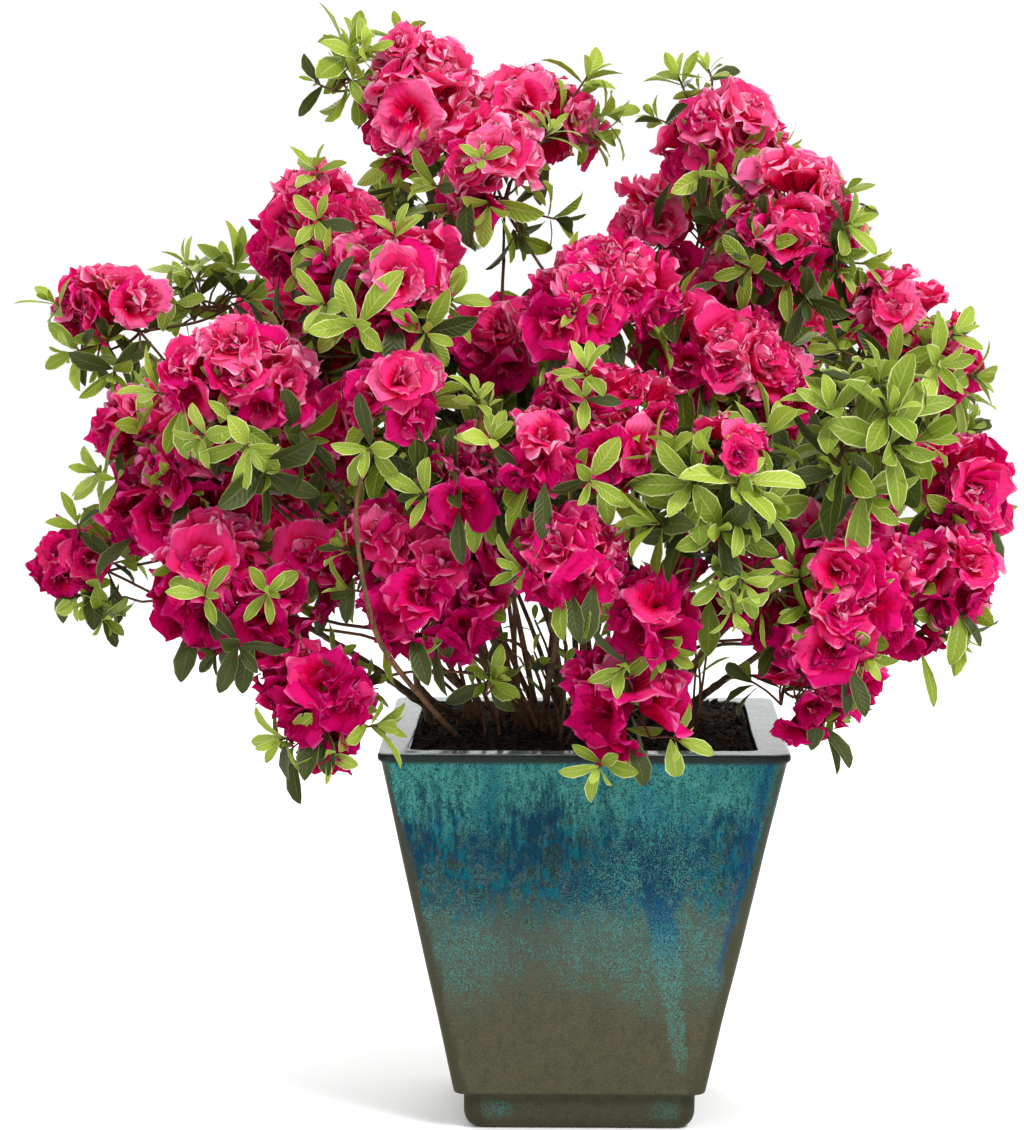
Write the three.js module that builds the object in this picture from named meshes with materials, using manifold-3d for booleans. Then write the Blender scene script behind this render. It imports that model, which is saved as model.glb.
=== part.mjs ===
// Azalea shrub in bloom, growing as a clump of stems in a glazed square planter.
// Millimetres, +Z up. The planter stands on z = 0 about the Z axis and its front faces -Y.
import * as THREE from 'three';
import { mergeVertices } from 'three/addons/utils/BufferGeometryUtils.js';
import Module from 'manifold-3d';

// ---- Planter and soil ---------------------------------------------------------------
const PLANTER_HEIGHT = 394;
const RIM_HALF = 200; // half the outer width at the rim
const RIM_LAND = 30; // flat top of the rim, from outer to inner edge
const RIM_THICK = 12;
const LIP_DEPTH = 6; // the lip's share of that, below the rim's flat top
const BEAD = 1.5; // how far the lip stands out from the wall
const EDGE = 2; // size of the small bevels on the rim's edges
const BODY_FOOT_HALF = 125.5; // half width of the body where it meets the foot
const FOOT_HALF = 116;
const FOOT_HEIGHT = 37;
const FOOT_ROUND = 14; // the foot's rounded bottom edge
const STEP_RISE = 5; // how far the hollow between foot and body reaches up and down
const WALL = 16;
const FLOOR_TOP = 60; // top of the planter's floor
const CORNER = 12; // radius of the upright corners
const CORNER_STEPS = 4; // straight pieces in one rounded corner
const GAP = 0.3; // clearance between pieces that touch
const SOIL_LEVEL = 396; // the level ground that the stems rise from
const SOIL_SHOULDER = 18; // width of the slope from that level down to the rim's inner edge
const SOIL_EDGE_DROP = 6; // how far the soil's edge lies below the rim

// ---- Crown --------------------------------------------------------------------------
// Each mass: name, middle [x, y, z], overall size [x, y, z]. A mass is a truss or two of
// blossom among its leaves, or a spray of leaves alone. Left and right are as seen from the front.
const CROWN = [
  // the tall leader at the left of the middle
  ['blossom_crest_left', [-163, -40, 1020], [146, 124, 180]],
  ['leaves_crest_left_tip', [-240, -40, 1070], [104, 90, 92]],
  ['blossom_crest_back', [-50, 25, 1014], [146, 140, 118]],
  ['blossom_crest_front', [-80, -110, 954], [150, 124, 146]],
  ['blossom_shoulder_left', [-262, -75, 904], [150, 156, 148]],
  ['leaves_shoulder_back', [-180, 110, 900], [170, 160, 150]],
  // the left side, from the top down
  ['blossom_breast_left', [-182, -172, 842], [164, 150, 164]],
  ['blossom_far_left', [-478, -20, 812], [156, 124, 140]],
  ['leaves_left_high', [-384, 60, 832], [150, 130, 120]],
  ['blossom_left_front', [-332, -200, 758], [160, 140, 140]],
  ['blossom_left_mid', [-380, -100, 670], [232, 140, 136]],
  ['leaves_left_back', [-410, 95, 690], [180, 170, 210]],
  ['blossom_left_skirt', [-345, -165, 562], [190, 156, 180]],
  ['blossom_left_reach', [-515, -40, 556], [150, 84, 124]],
  ['blossom_low_left', [-262, -212, 456], [138, 116, 150]],
  // the middle
  ['leaves_heart', [-120, -20, 680], [310, 260, 270]],
  ['blossom_heart_left', [-178, -255, 745], [114, 116, 136]],
  ['blossom_centre_left', [-100, -255, 680], [96, 110, 146]],
  ['blossom_front_left', [-146, -205, 568], [150, 144, 158]],
  ['blossom_centre_high', [8, -185, 828], [156, 144, 144]],
  ['blossom_centre_front', [8, -280, 714], [176, 124, 140]],
  ['blossom_centre_low', [-5, -305, 602], [118, 116, 128]],
  ['blossom_centre_low_right', [64, -300, 537], [114, 116, 120]],
  ['leaves_low_front', [-96, -190, 462], [92, 84, 74]],
  ['blossom_over_rim', [40, -258, 448], [128, 108, 134]],
  // the right side, from the top down
  ['blossom_crest_right', [144, -20, 990], [150, 134, 156]],
  ['blossom_crest_right_back', [106, 70, 864], [174, 146, 154]],
  ['blossom_shoulder_right', [216, -88, 898], [154, 142, 156]],
  ['blossom_right_mid', [136, -155, 762], [174, 160, 130]],
  ['leaves_heart_right', [165, -5, 695], [260, 250, 270]],
  ['leaves_front_right', [126, -310, 650], [156, 124, 190]],
  ['blossom_far_right_high', [330, -58, 790], [164, 146, 148]],
  ['leaves_right_front', [276, -275, 706], [176, 146, 180]],
  ['leaves_right_back', [340, 80, 705], [175, 190, 230]],
  ['blossom_far_right', [388, -115, 648], [108, 130, 136]],
  ['blossom_far_right_low', [350, -160, 556], [126, 130, 126]],
  ['blossom_right_low', [250, -240, 556], [180, 134, 168]],
  ['blossom_skirt_right', [212, -220, 456], [122, 110, 100]],
  // the far side
  ['blossom_back_left_high', [-260, 200, 782], [225, 195, 210]],
  ['leaves_back_middle', [-70, 215, 745], [210, 190, 180]],
  ['blossom_back_right_high', [190, 190, 800], [220, 190, 190]],
  ['blossom_back_left_low', [-280, 205, 610], [250, 200, 200]],
  ['blossom_back_middle_low', [-20, 290, 610], [260, 180, 200]],
  ['blossom_back_right_low', [255, 205, 595], [250, 200, 210]],
];
const SMALL_MASS = 135; // masses smaller than this all round get fewer facets
const COARSE_DETAIL = 1;
const FINE_DETAIL = 2;
const LOBES = 7; // bulges on one mass
const LOBE_RISE = 0.16; // height of a bulge over the mass's own radius
const LOBE_SINK = 0.07; // how much the hollows between the bulges lie back
const LOBE_TIGHT = 6; // larger is a narrower bulge
const MASS_GAP = 0.4; // clearance between neighbouring masses
const CUT_GROWTH = 1.006; // a mass is this much larger where it trims a limb

// ---- Limbs --------------------------------------------------------------------------
// Each stem: name, foot [x, y] on the soil, a point it bends by, the mass it makes for,
// and its radius at the foot. Each bough: the same between two masses.
const STEMS = [
  ['stem_low_left', [-148, 30], [-205, -20, 450], 'blossom_left_skirt', 7.5],
  ['stem_left', [-118, -10], [-165, -110, 455], 'blossom_front_left', 6.5],
  ['stem_back_left', [-95, 60], [-190, 110, 480], 'blossom_back_left_low', 7],
  ['stem_middle_left', [-62, 10], [-85, 5, 480], 'leaves_heart', 8.5],
  ['stem_middle', [-22, 30], [-30, 15, 490], 'leaves_heart', 7.5],
  ['stem_middle_front', [-40, -45], [-30, -150, 470], 'blossom_centre_low', 6],
  ['stem_back', [10, 75], [0, 170, 480], 'blossom_back_middle_low', 7],
  ['stem_middle_right', [40, 20], [80, 10, 490], 'leaves_heart_right', 8],
  ['stem_right', [82, -20], [165, -90, 470], 'blossom_right_low', 7],
  ['stem_back_right', [72, 60], [150, 120, 480], 'blossom_back_right_low', 6.5],
];
const BOUGHS = [
  ['bough_crest', 'leaves_heart', [-80, -80, 830], 'blossom_crest_front', 4.2],
  ['bough_crest_right', 'blossom_crest_right_back', [112, 30, 925], 'blossom_crest_right', 4],
  ['bough_far_left', 'blossom_left_front', [-420, -100, 770], 'blossom_far_left', 3.6],
  ['bough_reach', 'blossom_left_skirt', [-440, -90, 530], 'blossom_left_reach', 3],
];
const LIMB_SIDES = 7;
const LIMB_STEPS = 7;
const TIP_SHARE = 0.45; // a limb's radius where it ends, as a share of its foot's
const FLARE = 0.35; // extra radius at a stem's foot
const FLARE_LENGTH = 22;

// ---- Materials ----------------------------------------------------------------------
const glaze = new THREE.MeshStandardMaterial({ color: 0x2f6f72, roughness: 0.15, metalness: 0 });
const soil = new THREE.MeshStandardMaterial({ color: 0x33261e, roughness: 0.95, metalness: 0 });
const bark = new THREE.MeshStandardMaterial({ color: 0x5b4a3a, roughness: 0.85, metalness: 0 });
const petals = new THREE.MeshStandardMaterial({ color: 0xc42c6c, roughness: 0.6, metalness: 0 });
const foliage = new THREE.MeshStandardMaterial({ color: 0x587a35, roughness: 0.8, metalness: 0 });

const wasm = await Module();
wasm.setup();

// Repeatable random numbers from 0 to 1.
function randomStream(seed) {
  let state = seed >>> 0;
  return () => {
    state = (state + 0x6d2b79f5) >>> 0;
    let t = Math.imul(state ^ (state >>> 15), 1 | state);
    t = (t + Math.imul(t ^ (t >>> 7), 61 | t)) ^ t;
    return ((t ^ (t >>> 14)) >>> 0) / 2 ** 32;
  };
}

// Keeps only position and joins the vertices that coincide.
function welded(geometry) {
  geometry.deleteAttribute('normal');
  geometry.deleteAttribute('uv');
  return mergeVertices(geometry, 1e-4);
}

function addPiece(group, name, geometry, material) {
  geometry.computeVertexNormals();
  const mesh = new THREE.Mesh(geometry, material);
  mesh.name = name;
  group.add(mesh);
}

// A profile of [half width, z] turned about Z as a square with rounded corners.
function squareTurned(profile) {
  const stations = 4 * (CORNER_STEPS + 1);
  const outline = profile.map(([half, z]) => new THREE.Vector2(half, z));
  const turned = new THREE.LatheGeometry(outline, stations);
  const position = turned.getAttribute('position');
  for (let i = 0; i < position.count; i++) {
    const station = Math.floor(i / profile.length) % stations;
    const corner = Math.floor(station / (CORNER_STEPS + 1));
    const angle = ((station % (CORNER_STEPS + 1)) / CORNER_STEPS + corner) * (Math.PI / 2);
    const [half, z] = profile[i % profile.length];
    const round = Math.min(CORNER, half);
    const along = (corner + 0.5) * (Math.PI / 2);
    const x = Math.sign(Math.cos(along)) * (half - round) + round * Math.cos(angle);
    const y = Math.sign(Math.sin(along)) * (half - round) + round * Math.sin(angle);
    position.setXYZ(i, x, y, z);
  }
  return welded(turned);
}

// Outer half width of the planter's wall at height z.
function wallHalf(z) {
  const rise = (z - FOOT_HEIGHT) / (PLANTER_HEIGHT - FOOT_HEIGHT);
  return BODY_FOOT_HALF + (RIM_HALF - BODY_FOOT_HALF) * rise;
}

function planterGeometry() {
  const ledge = PLANTER_HEIGHT - RIM_THICK;
  const lip = PLANTER_HEIGHT - LIP_DEPTH;
  const opening = RIM_HALF - RIM_LAND;
  return squareTurned([
    [0, 0],
    [FOOT_HALF - FOOT_ROUND, 0],
    [FOOT_HALF - FOOT_ROUND * 0.3, FOOT_ROUND * 0.3],
    [FOOT_HALF, FOOT_ROUND],
    [FOOT_HALF, FOOT_HEIGHT - STEP_RISE],
    [FOOT_HALF + 3, FOOT_HEIGHT - 1],
    [BODY_FOOT_HALF - 1, FOOT_HEIGHT + 1],
    [wallHalf(FOOT_HEIGHT + STEP_RISE), FOOT_HEIGHT + STEP_RISE],
    [wallHalf(lip - EDGE), lip - EDGE],
    [RIM_HALF + BEAD, lip],
    [RIM_HALF + BEAD, PLANTER_HEIGHT - EDGE],
    [RIM_HALF - EDGE / 2, PLANTER_HEIGHT],
    [opening + EDGE, PLANTER_HEIGHT],
    [opening, PLANTER_HEIGHT - EDGE],
    [opening, ledge],
    [wallHalf(ledge - WALL) - WALL, ledge - WALL],
    [wallHalf(FLOOR_TOP) - WALL, FLOOR_TOP],
    [0, FLOOR_TOP],
  ]);
}

// The soil fills the planter and stands a little over the rim in the middle.
function soilGeometry() {
  const ledge = PLANTER_HEIGHT - RIM_THICK;
  const opening = RIM_HALF - RIM_LAND - GAP;
  return squareTurned([
    [0, FLOOR_TOP + GAP],
    [wallHalf(FLOOR_TOP) - WALL - GAP, FLOOR_TOP + GAP],
    [wallHalf(ledge - WALL) - WALL - GAP, ledge - WALL - GAP],
    [opening, ledge - GAP],
    [opening, PLANTER_HEIGHT - SOIL_EDGE_DROP],
    [opening - SOIL_SHOULDER, SOIL_LEVEL],
    [0, SOIL_LEVEL],
  ]);
}

// Distance from the middle of an ellipsoid to its skin in one direction.
function ellipsoidReach(half, direction) {
  const { x, y, z } = direction;
  return 1 / Math.hypot(x / half.x, y / half.y, z / half.z);
}

// A mass keeps to its own side of a plane between it and each of its neighbours.
function fences(mass, masses) {
  return masses.filter((other) => other !== mass).map((other) => {
    const toward = other.middle.clone().sub(mass.middle);
    const distance = toward.length();
    toward.normalize();
    const own = ellipsoidReach(mass.half, toward);
    const theirs = ellipsoidReach(other.half, toward);
    return { toward, limit: (distance * own) / (own + theirs) - MASS_GAP / 2 };
  });
}

// An uneven closed solid: an ellipsoid with seeded bulges, held back by its fences.
function massGeometry(mass, masses) {
  const random = randomStream(mass.seed);
  const small = Math.max(mass.half.x, mass.half.y, mass.half.z) * 2 < SMALL_MASS;
  const ball = welded(new THREE.IcosahedronGeometry(1, small ? COARSE_DETAIL : FINE_DETAIL));
  const lobes = Array.from({ length: LOBES }, () => new THREE.Vector3().setFromSphericalCoords(
    1, Math.acos(2 * random() - 1), 2 * Math.PI * random()));
  const limits = fences(mass, masses);
  const position = ball.getAttribute('position');
  const direction = new THREE.Vector3();
  for (let i = 0; i < position.count; i++) {
    direction.fromBufferAttribute(position, i).normalize();
    const bulge = Math.max(...lobes.map((lobe) => Math.exp(LOBE_TIGHT * (lobe.dot(direction) - 1))));
    let reach = ellipsoidReach(mass.half, direction) * (1 - LOBE_SINK + LOBE_RISE * bulge);
    for (const { toward, limit } of limits) {
      const lean = direction.dot(toward);
      if (lean > 0) reach = Math.min(reach, limit / lean);
    }
    direction.multiplyScalar(reach).add(mass.middle);
    position.setXYZ(i, direction.x, direction.y, direction.z);
  }
  return ball;
}

function toSolid(geometry) {
  const mesh = new wasm.Mesh({
    numProp: 3,
    vertProperties: new Float32Array(geometry.getAttribute('position').array),
    triVerts: new Uint32Array(geometry.index.array),
  });
  return new wasm.Manifold(mesh);
}

function fromSolid(solid) {
  const mesh = solid.getMesh();
  const geometry = new THREE.BufferGeometry();
  geometry.setAttribute('position', new THREE.BufferAttribute(mesh.vertProperties, 3));
  geometry.setIndex(new THREE.BufferAttribute(mesh.triVerts, 1));
  return geometry;
}

// A round limb along a curve, thinner towards its tip; a stem is flared and cut level below.
function limbSolid(points, footRadius, isStem) {
  const curve = new THREE.CatmullRomCurve3(points, false, 'centripetal');
  const frames = curve.computeFrenetFrames(LIMB_STEPS, false);
  const length = curve.getLength();
  const limb = new THREE.CylinderGeometry(1, 1, 1, LIMB_SIDES, LIMB_STEPS);
  const position = limb.getAttribute('position');
  const vertex = new THREE.Vector3();
  for (let i = 0; i < position.count; i++) {
    vertex.fromBufferAttribute(position, i);
    const step = Math.round((vertex.y + 0.5) * LIMB_STEPS);
    const along = step / LIMB_STEPS;
    const flare = isStem ? FLARE * Math.exp((-along * length) / FLARE_LENGTH) : 0;
    const radius = footRadius * (1 - (1 - TIP_SHARE) * along + flare);
    const side = frames.binormals[step].clone().multiplyScalar(vertex.x * radius);
    const front = frames.normals[step].clone().multiplyScalar(vertex.z * radius);
    const place = curve.getPointAt(along).add(side).add(front);
    if (isStem && step === 0) place.z = points[0].z;
    position.setXYZ(i, place.x, place.y, place.z);
  }
  return toSolid(welded(limb));
}

// A limb stops where it enters a mass: of what is left, the wanted piece is kept.
function trimmed(limb, cutters, isStem) {
  let left = limb;
  for (const cutter of cutters) left = left.subtract(cutter);
  const pieces = left.decompose();
  const rank = isStem ? (piece) => -piece.boundingBox().min[2] : (piece) => piece.volume();
  return pieces.reduce((best, piece) => (rank(piece) > rank(best) ? piece : best));
}

function build() {
  const group = new THREE.Group();
  addPiece(group, 'planter', planterGeometry(), glaze);
  addPiece(group, 'soil', soilGeometry(), soil);

  const masses = CROWN.map(([name, middle, size], index) => ({
    name,
    middle: new THREE.Vector3(...middle),
    half: new THREE.Vector3(...size).multiplyScalar(0.5),
    seed: index + 1,
  }));
  const cutters = [];
  for (const mass of masses) {
    const geometry = massGeometry(mass, masses);
    const away = mass.middle.clone().negate().toArray();
    const solid = toSolid(geometry);
    cutters.push(solid.translate(away).scale(CUT_GROWTH).translate(mass.middle.toArray()));
    addPiece(group, mass.name, geometry, mass.name.startsWith('blossom') ? petals : foliage);
  }

  const middleOf = (name) => masses.find((mass) => mass.name === name).middle;
  for (const [name, foot, bend, target, radius] of STEMS) {
    const points = [
      new THREE.Vector3(...foot, SOIL_LEVEL + GAP),
      new THREE.Vector3(...bend),
      middleOf(target).clone(),
    ];
    addPiece(group, name, fromSolid(trimmed(limbSolid(points, radius, true), cutters, true)), bark);
  }
  for (const [name, source, bend, target, radius] of BOUGHS) {
    const points = [middleOf(source).clone(), new THREE.Vector3(...bend), middleOf(target).clone()];
    addPiece(group, name, fromSolid(trimmed(limbSolid(points, radius, false), cutters, false)), bark);
  }
  return group;
}

export default build();
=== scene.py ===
"""Azalea shrub in full bloom in a glazed square planter: the looks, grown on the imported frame."""
import math

import bpy
import numpy as np
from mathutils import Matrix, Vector
from mathutils.bvhtree import BVHTree


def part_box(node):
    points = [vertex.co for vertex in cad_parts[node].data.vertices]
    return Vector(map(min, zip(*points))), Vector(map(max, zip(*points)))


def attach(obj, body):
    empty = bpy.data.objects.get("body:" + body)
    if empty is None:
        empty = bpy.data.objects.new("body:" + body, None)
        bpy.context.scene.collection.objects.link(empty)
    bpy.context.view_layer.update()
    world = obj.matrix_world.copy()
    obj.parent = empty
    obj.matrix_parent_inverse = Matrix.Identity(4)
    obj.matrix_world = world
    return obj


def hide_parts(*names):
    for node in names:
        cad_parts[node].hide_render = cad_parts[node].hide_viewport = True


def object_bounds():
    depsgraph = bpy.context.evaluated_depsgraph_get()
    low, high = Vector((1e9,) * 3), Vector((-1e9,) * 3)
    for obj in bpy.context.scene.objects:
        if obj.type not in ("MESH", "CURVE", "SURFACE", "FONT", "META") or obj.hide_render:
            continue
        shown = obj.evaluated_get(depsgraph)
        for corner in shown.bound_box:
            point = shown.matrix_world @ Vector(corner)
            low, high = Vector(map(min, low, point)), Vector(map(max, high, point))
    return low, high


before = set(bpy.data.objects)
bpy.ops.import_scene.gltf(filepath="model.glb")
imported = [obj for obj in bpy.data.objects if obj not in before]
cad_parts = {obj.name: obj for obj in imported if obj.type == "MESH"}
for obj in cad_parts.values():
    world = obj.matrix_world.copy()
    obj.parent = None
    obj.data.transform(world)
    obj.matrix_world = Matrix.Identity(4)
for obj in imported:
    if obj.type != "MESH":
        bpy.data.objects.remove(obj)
cad_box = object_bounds()

# ---- Driving sizes, in metres ----
# Planter: repeated from the CAD, or taken from its node
PLANTER_LOW, PLANTER_HIGH = (Vector(corner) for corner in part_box("planter"))
SOIL_FLOOR = Vector(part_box("soil")[0]).z
BEAD = 0.0015  # how far the lip stands out from the wall
RIM_HALF = PLANTER_HIGH.x - BEAD
RIM_TOP = PLANTER_HIGH.z
RIM_LAND = 0.030  # width of the rim's flat top
BODY_FOOT_HALF = 0.1255  # half the body's width where it meets the foot
FOOT_HALF = 0.116
FOOT_HEIGHT = 0.037
CORNER = 0.012  # radius of the upright corners
WALL = 0.016
INNER_FLOOR = 0.06  # height of the inner floor
LIP_HEIGHT = 0.007
FOOT_ROUND = 0.013  # the foot's lower edge
EDGE_ROUND = 0.003  # the body's lower edge and the lip's edges
LEAN = 0.010  # thrown by hand: the pot stands very slightly out of true
SOIL_HALF = RIM_HALF - RIM_LAND
SOIL_TOP = RIM_TOP - 0.002  # mean level of the visible soil
SOIL_STEPS = 100  # squares along each side of its surface
CHIPS = 2600  # of bark and grit on the soil
FIBRES = 240

# Limbs, leaves and flowers
LEAF_LENGTH = 0.048
LEAF_WIDTH = 0.39  # of its length
LEAF_SHAPES = 12  # different ones, dealt out at random
LEAF_STATIONS = (0.0, 0.16, 0.40, 0.65, 0.86, 0.95, 1.0)  # closer together towards the rounded tip
PETAL_LENGTH = 0.0455
STAMEN_RADII = (0.0004, 0.0004, 0.0009)  # from root to tip
TRUSS_SPACING = 0.056  # over a mass's surface
TRUSS_DEPTH = 0.052  # from a mass's surface to the point its florets spring from
TRUSS_MASS = 0.062  # half size of a mass whose trusses are of size 1
WHORL_SPACING = 0.060
SPRAY_LENGTH, SPRAY_SIDE = 0.045, 0.030  # of a spray's middle shoot and side shoots
STEM_SLIM = 0.62  # the bark's radius, as a share of the CAD limb's
BRANCH_RADIUS = 0.0034  # the thickest branch inside the crown
HUB_RADIUS = 0.0020  # a branch's where it forks in a mass that no thick limb enters
BRANCH_TAPER = 0.85  # from one mass to the next
CROWN_BASE = np.array([0.0, 0.0, RIM_TOP + 0.14])  # the shoots spread from about here
CROWN_HALF = (0.46, 0.32)  # half its width and depth
SHOOTS = 34  # thin ones, from the ground into the lower crown
SUCKERS = 34  # short leafy ones between them
MAX_PIECE_QUADS = 95_000  # two triangles a quad: each joined piece stays under 200,000 triangles
PETAL_ROOM = 100  # quads: more than any petal or bud has
FAR_LEAFY_STEP = 5  # every so many trusses of a far mass are leafy shoots instead
FAR_SIDE = 0.03  # a mass whose middle is deeper than this is a far one
# Painted light: florets that face this way, towards the light, get the palest tints.
PAINTED_LIGHT_AIM = np.array([0.33, -0.24, 0.91])  # florets that face this way are the palest
FLORETS = 9  # directions round a truss, less those that point back into it
BACKWARD = -0.35  # the cosine to the axis below which a floret or truss points back, and is left out
BUD_SHARE = 0.25  # of the trusses have a bud
SHOOT_FOOT = 0.014  # from a truss's node back to where its leafy shoots leave
RING_NEAR, RING_FAR = 0.24, 0.12  # spacing of leafy twigs round a near mass and a far one
SHOOT_THIN, SHOOT_THICK = 0.0010, 0.0013  # a leafy side shoot's radius at its tip and foot
MM = 1000  # to a metre
TURN = 2 * math.pi
# Masses of a few separate shoots or trusses, each placed below
PLACED_MASSES = {
    "leaves_left_high", "leaves_crest_left_tip", "blossom_crest_left", "blossom_crest_back",
    "blossom_crest_front", "blossom_crest_right", "blossom_shoulder_left", "blossom_shoulder_right",
    "blossom_left_front", "blossom_far_left", "blossom_left_reach", "blossom_low_left",
    "blossom_far_right_high", "blossom_over_rim", "blossom_centre_front", "blossom_far_right",
}

# Leaf sprays that stand out from the masses. Each line has a node, and for each of its sprays the
# place from the node's middle in mm, whorls, size and age. They grow in this order, so a node can
# come back; a line that ends in a comma goes on in the next.
SPRAYS = """
leaves_crest_left_tip: 12 -10 12 3 1.12 0.7, 32 -30 -2 2 0.85 0.2, 2 14 0 2 0.95 1, 14 26 22 2 0.9 0.8,
    20 8 -42 1 0.95 2.2
blossom_crest_left: -12 20 78 1 0.8 0.8
blossom_crest_back: 56 -22 34 2 0.95 0.4, 70 -12 6 2 0.95 0.8, 62 -5 -22 1 0.9 1.2
blossom_crest_front: -17 -66 22 1 0.6 0.2, 56 4 46 1 0.85 0.2, -66 -36 -6 2 0.8 1.2,
    19 -10 -62 2 1.1 2.3, 60 0 -44 1 0.95 1.9
blossom_crest_left: -22 -20 -84 2 0.9 1.5
blossom_shoulder_left: 6 -35 58 1 0.8 0.3, 10 -84 4 1 0.75 0.9
blossom_breast_left: -62 -10 40 2 0.9 1, 2 -40 66 1 0.8 0.4, -34 -84 -24 3 1.15 0.2, -66 -66 -4 2 1 0.8,
    40 -58 -40 2 0.95 1
blossom_far_left: -56 -14 14 1 0.85 0.8, -32 -34 -36 2 0.9 0.9, 4 -40 -58 2 0.95 1.4
leaves_left_high: -34 -50 -8 2 0.9 0.8, -14 -30 30 3 1 0.5, 34 -20 28 3 1.1 0.7, 52 0 -6 2 1 1.6,
    8 30 16 3 1 1, -30 30 -30 2 1 1.4
blossom_left_front: -80 10 -14 1 1 0.7, -27 -62 -52 1 0.8 0.5, 18 -70 -60 2 1 0.3, 30 -40 -92 2 1.25 3,
    68 -34 -58 1 1.1 2.4
blossom_left_mid: -98 -20 -6 2 0.9 0.8
blossom_left_reach: 10 -42 52 2 0.95 1, 44 -26 34 2 0.95 1.4, 30 -30 -44 2 0.85 1.2
blossom_left_skirt: -16 -84 -8 1 0.8 1.3, 52 -82 -2 1 0.8 1.1, 12 -64 -62 2 1.15 2.9
blossom_low_left: -30 -30 -40 2 0.9 0.6, 64 -20 -24 2 0.9 0.5, 16 -30 -58 1 0.8 0.9
blossom_heart_left: -26 -48 -44 1 0.9 0.9
blossom_centre_left: -56 -40 -20 2 0.9 1, -24 -34 -14 1 1.1 2.6, 2 -44 74 2 0.8 0.4, 16 -58 36 1 0.8 0.5
blossom_front_left: -78 -40 34 2 0.85 1.9, -76 -40 -6 1 0.85 1.9
blossom_centre_low: -58 -28 -6 1 0.85 1.4
leaves_low_front: 10 -36 8 2 0.78 0.5
blossom_centre_high: -15 -76 2 1 0.6 0.5
blossom_centre_front: 0 -44 60 2 0.85 0.3, 4 -62 -46 2 0.9 0.6
leaves_front_right: -53 -14 48 3 1.15 0.3, 26 -36 -74 2 0.85 0.5, 16 -30 -100 2 0.85 0.7
blossom_far_right_high: -22 -80 -10 2 0.95 0.3, -74 -60 -6 2 0.95 0.9, 64 -26 -28 2 0.95 0.6,
    12 -76 -16 3 1 0.4, 40 -56 12 2 0.9 0.6, -66 -20 24 2 1 2.2
blossom_shoulder_right: 4 -50 -72 3 1.05 2.2
blossom_back_left_high: 10 -96 40 3 1.1 2.6, 50 -80 60 3 1.1 2.4
blossom_shoulder_right: 52 -32 6 2 0.9 0.8, 68 -14 -34 3 0.95 0.8, 44 -4 38 1 0.85 0.8,
    -70 -4 50 2 0.85 0.9, -80 -10 8 2 1.15 2.6, -60 -60 -36 2 0.95 1.6
blossom_crest_right: -16 -10 66 2 0.7 0.7, -46 0 56 1 0.9 1, -68 -4 16 1 0.8 1.2, 66 -4 -8 1 0.8 0.9
blossom_right_mid: -44 -30 68 1 1.1 2.4
blossom_far_right_low: 22 6 -50 2 0.9 1.3
blossom_right_low: 26 -30 -60 1 0.95 0.9
blossom_centre_low_right: -28 -30 -48 1 0.9 1.4
blossom_over_rim: -24 -50 -40 1 0.8 0.7
blossom_right_mid: -80 -20 0 2 1 1.2
leaves_front_right: -60 -20 -10 2 1.2 0.5, 20 -40 30 3 1.15 0.3, 44 10 70 2 1.2 0.6
blossom_right_low: -60 10 -50 2 0.95 2.2
blossom_skirt_right: -50 10 20 2 0.9 2
blossom_over_rim: 56 -30 -20 1 0.8 0.6
blossom_back_left_high: -70 60 30 2 1 0.7
blossom_back_right_high: 70 60 30 2 1 0.7
blossom_back_middle_low: 0 84 40 3 1 0.8
"""
# A long bare twig that crosses the front of the blossom, from the ground up: nodes and places
FRONT_TWIG = """
leaves_low_front: -30 60 -60
blossom_front_left: -30 -80 -66
blossom_front_left: -50 -98 -14
blossom_front_left: -62 -98 70
blossom_heart_left: -26 -40 -44
"""
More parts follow.
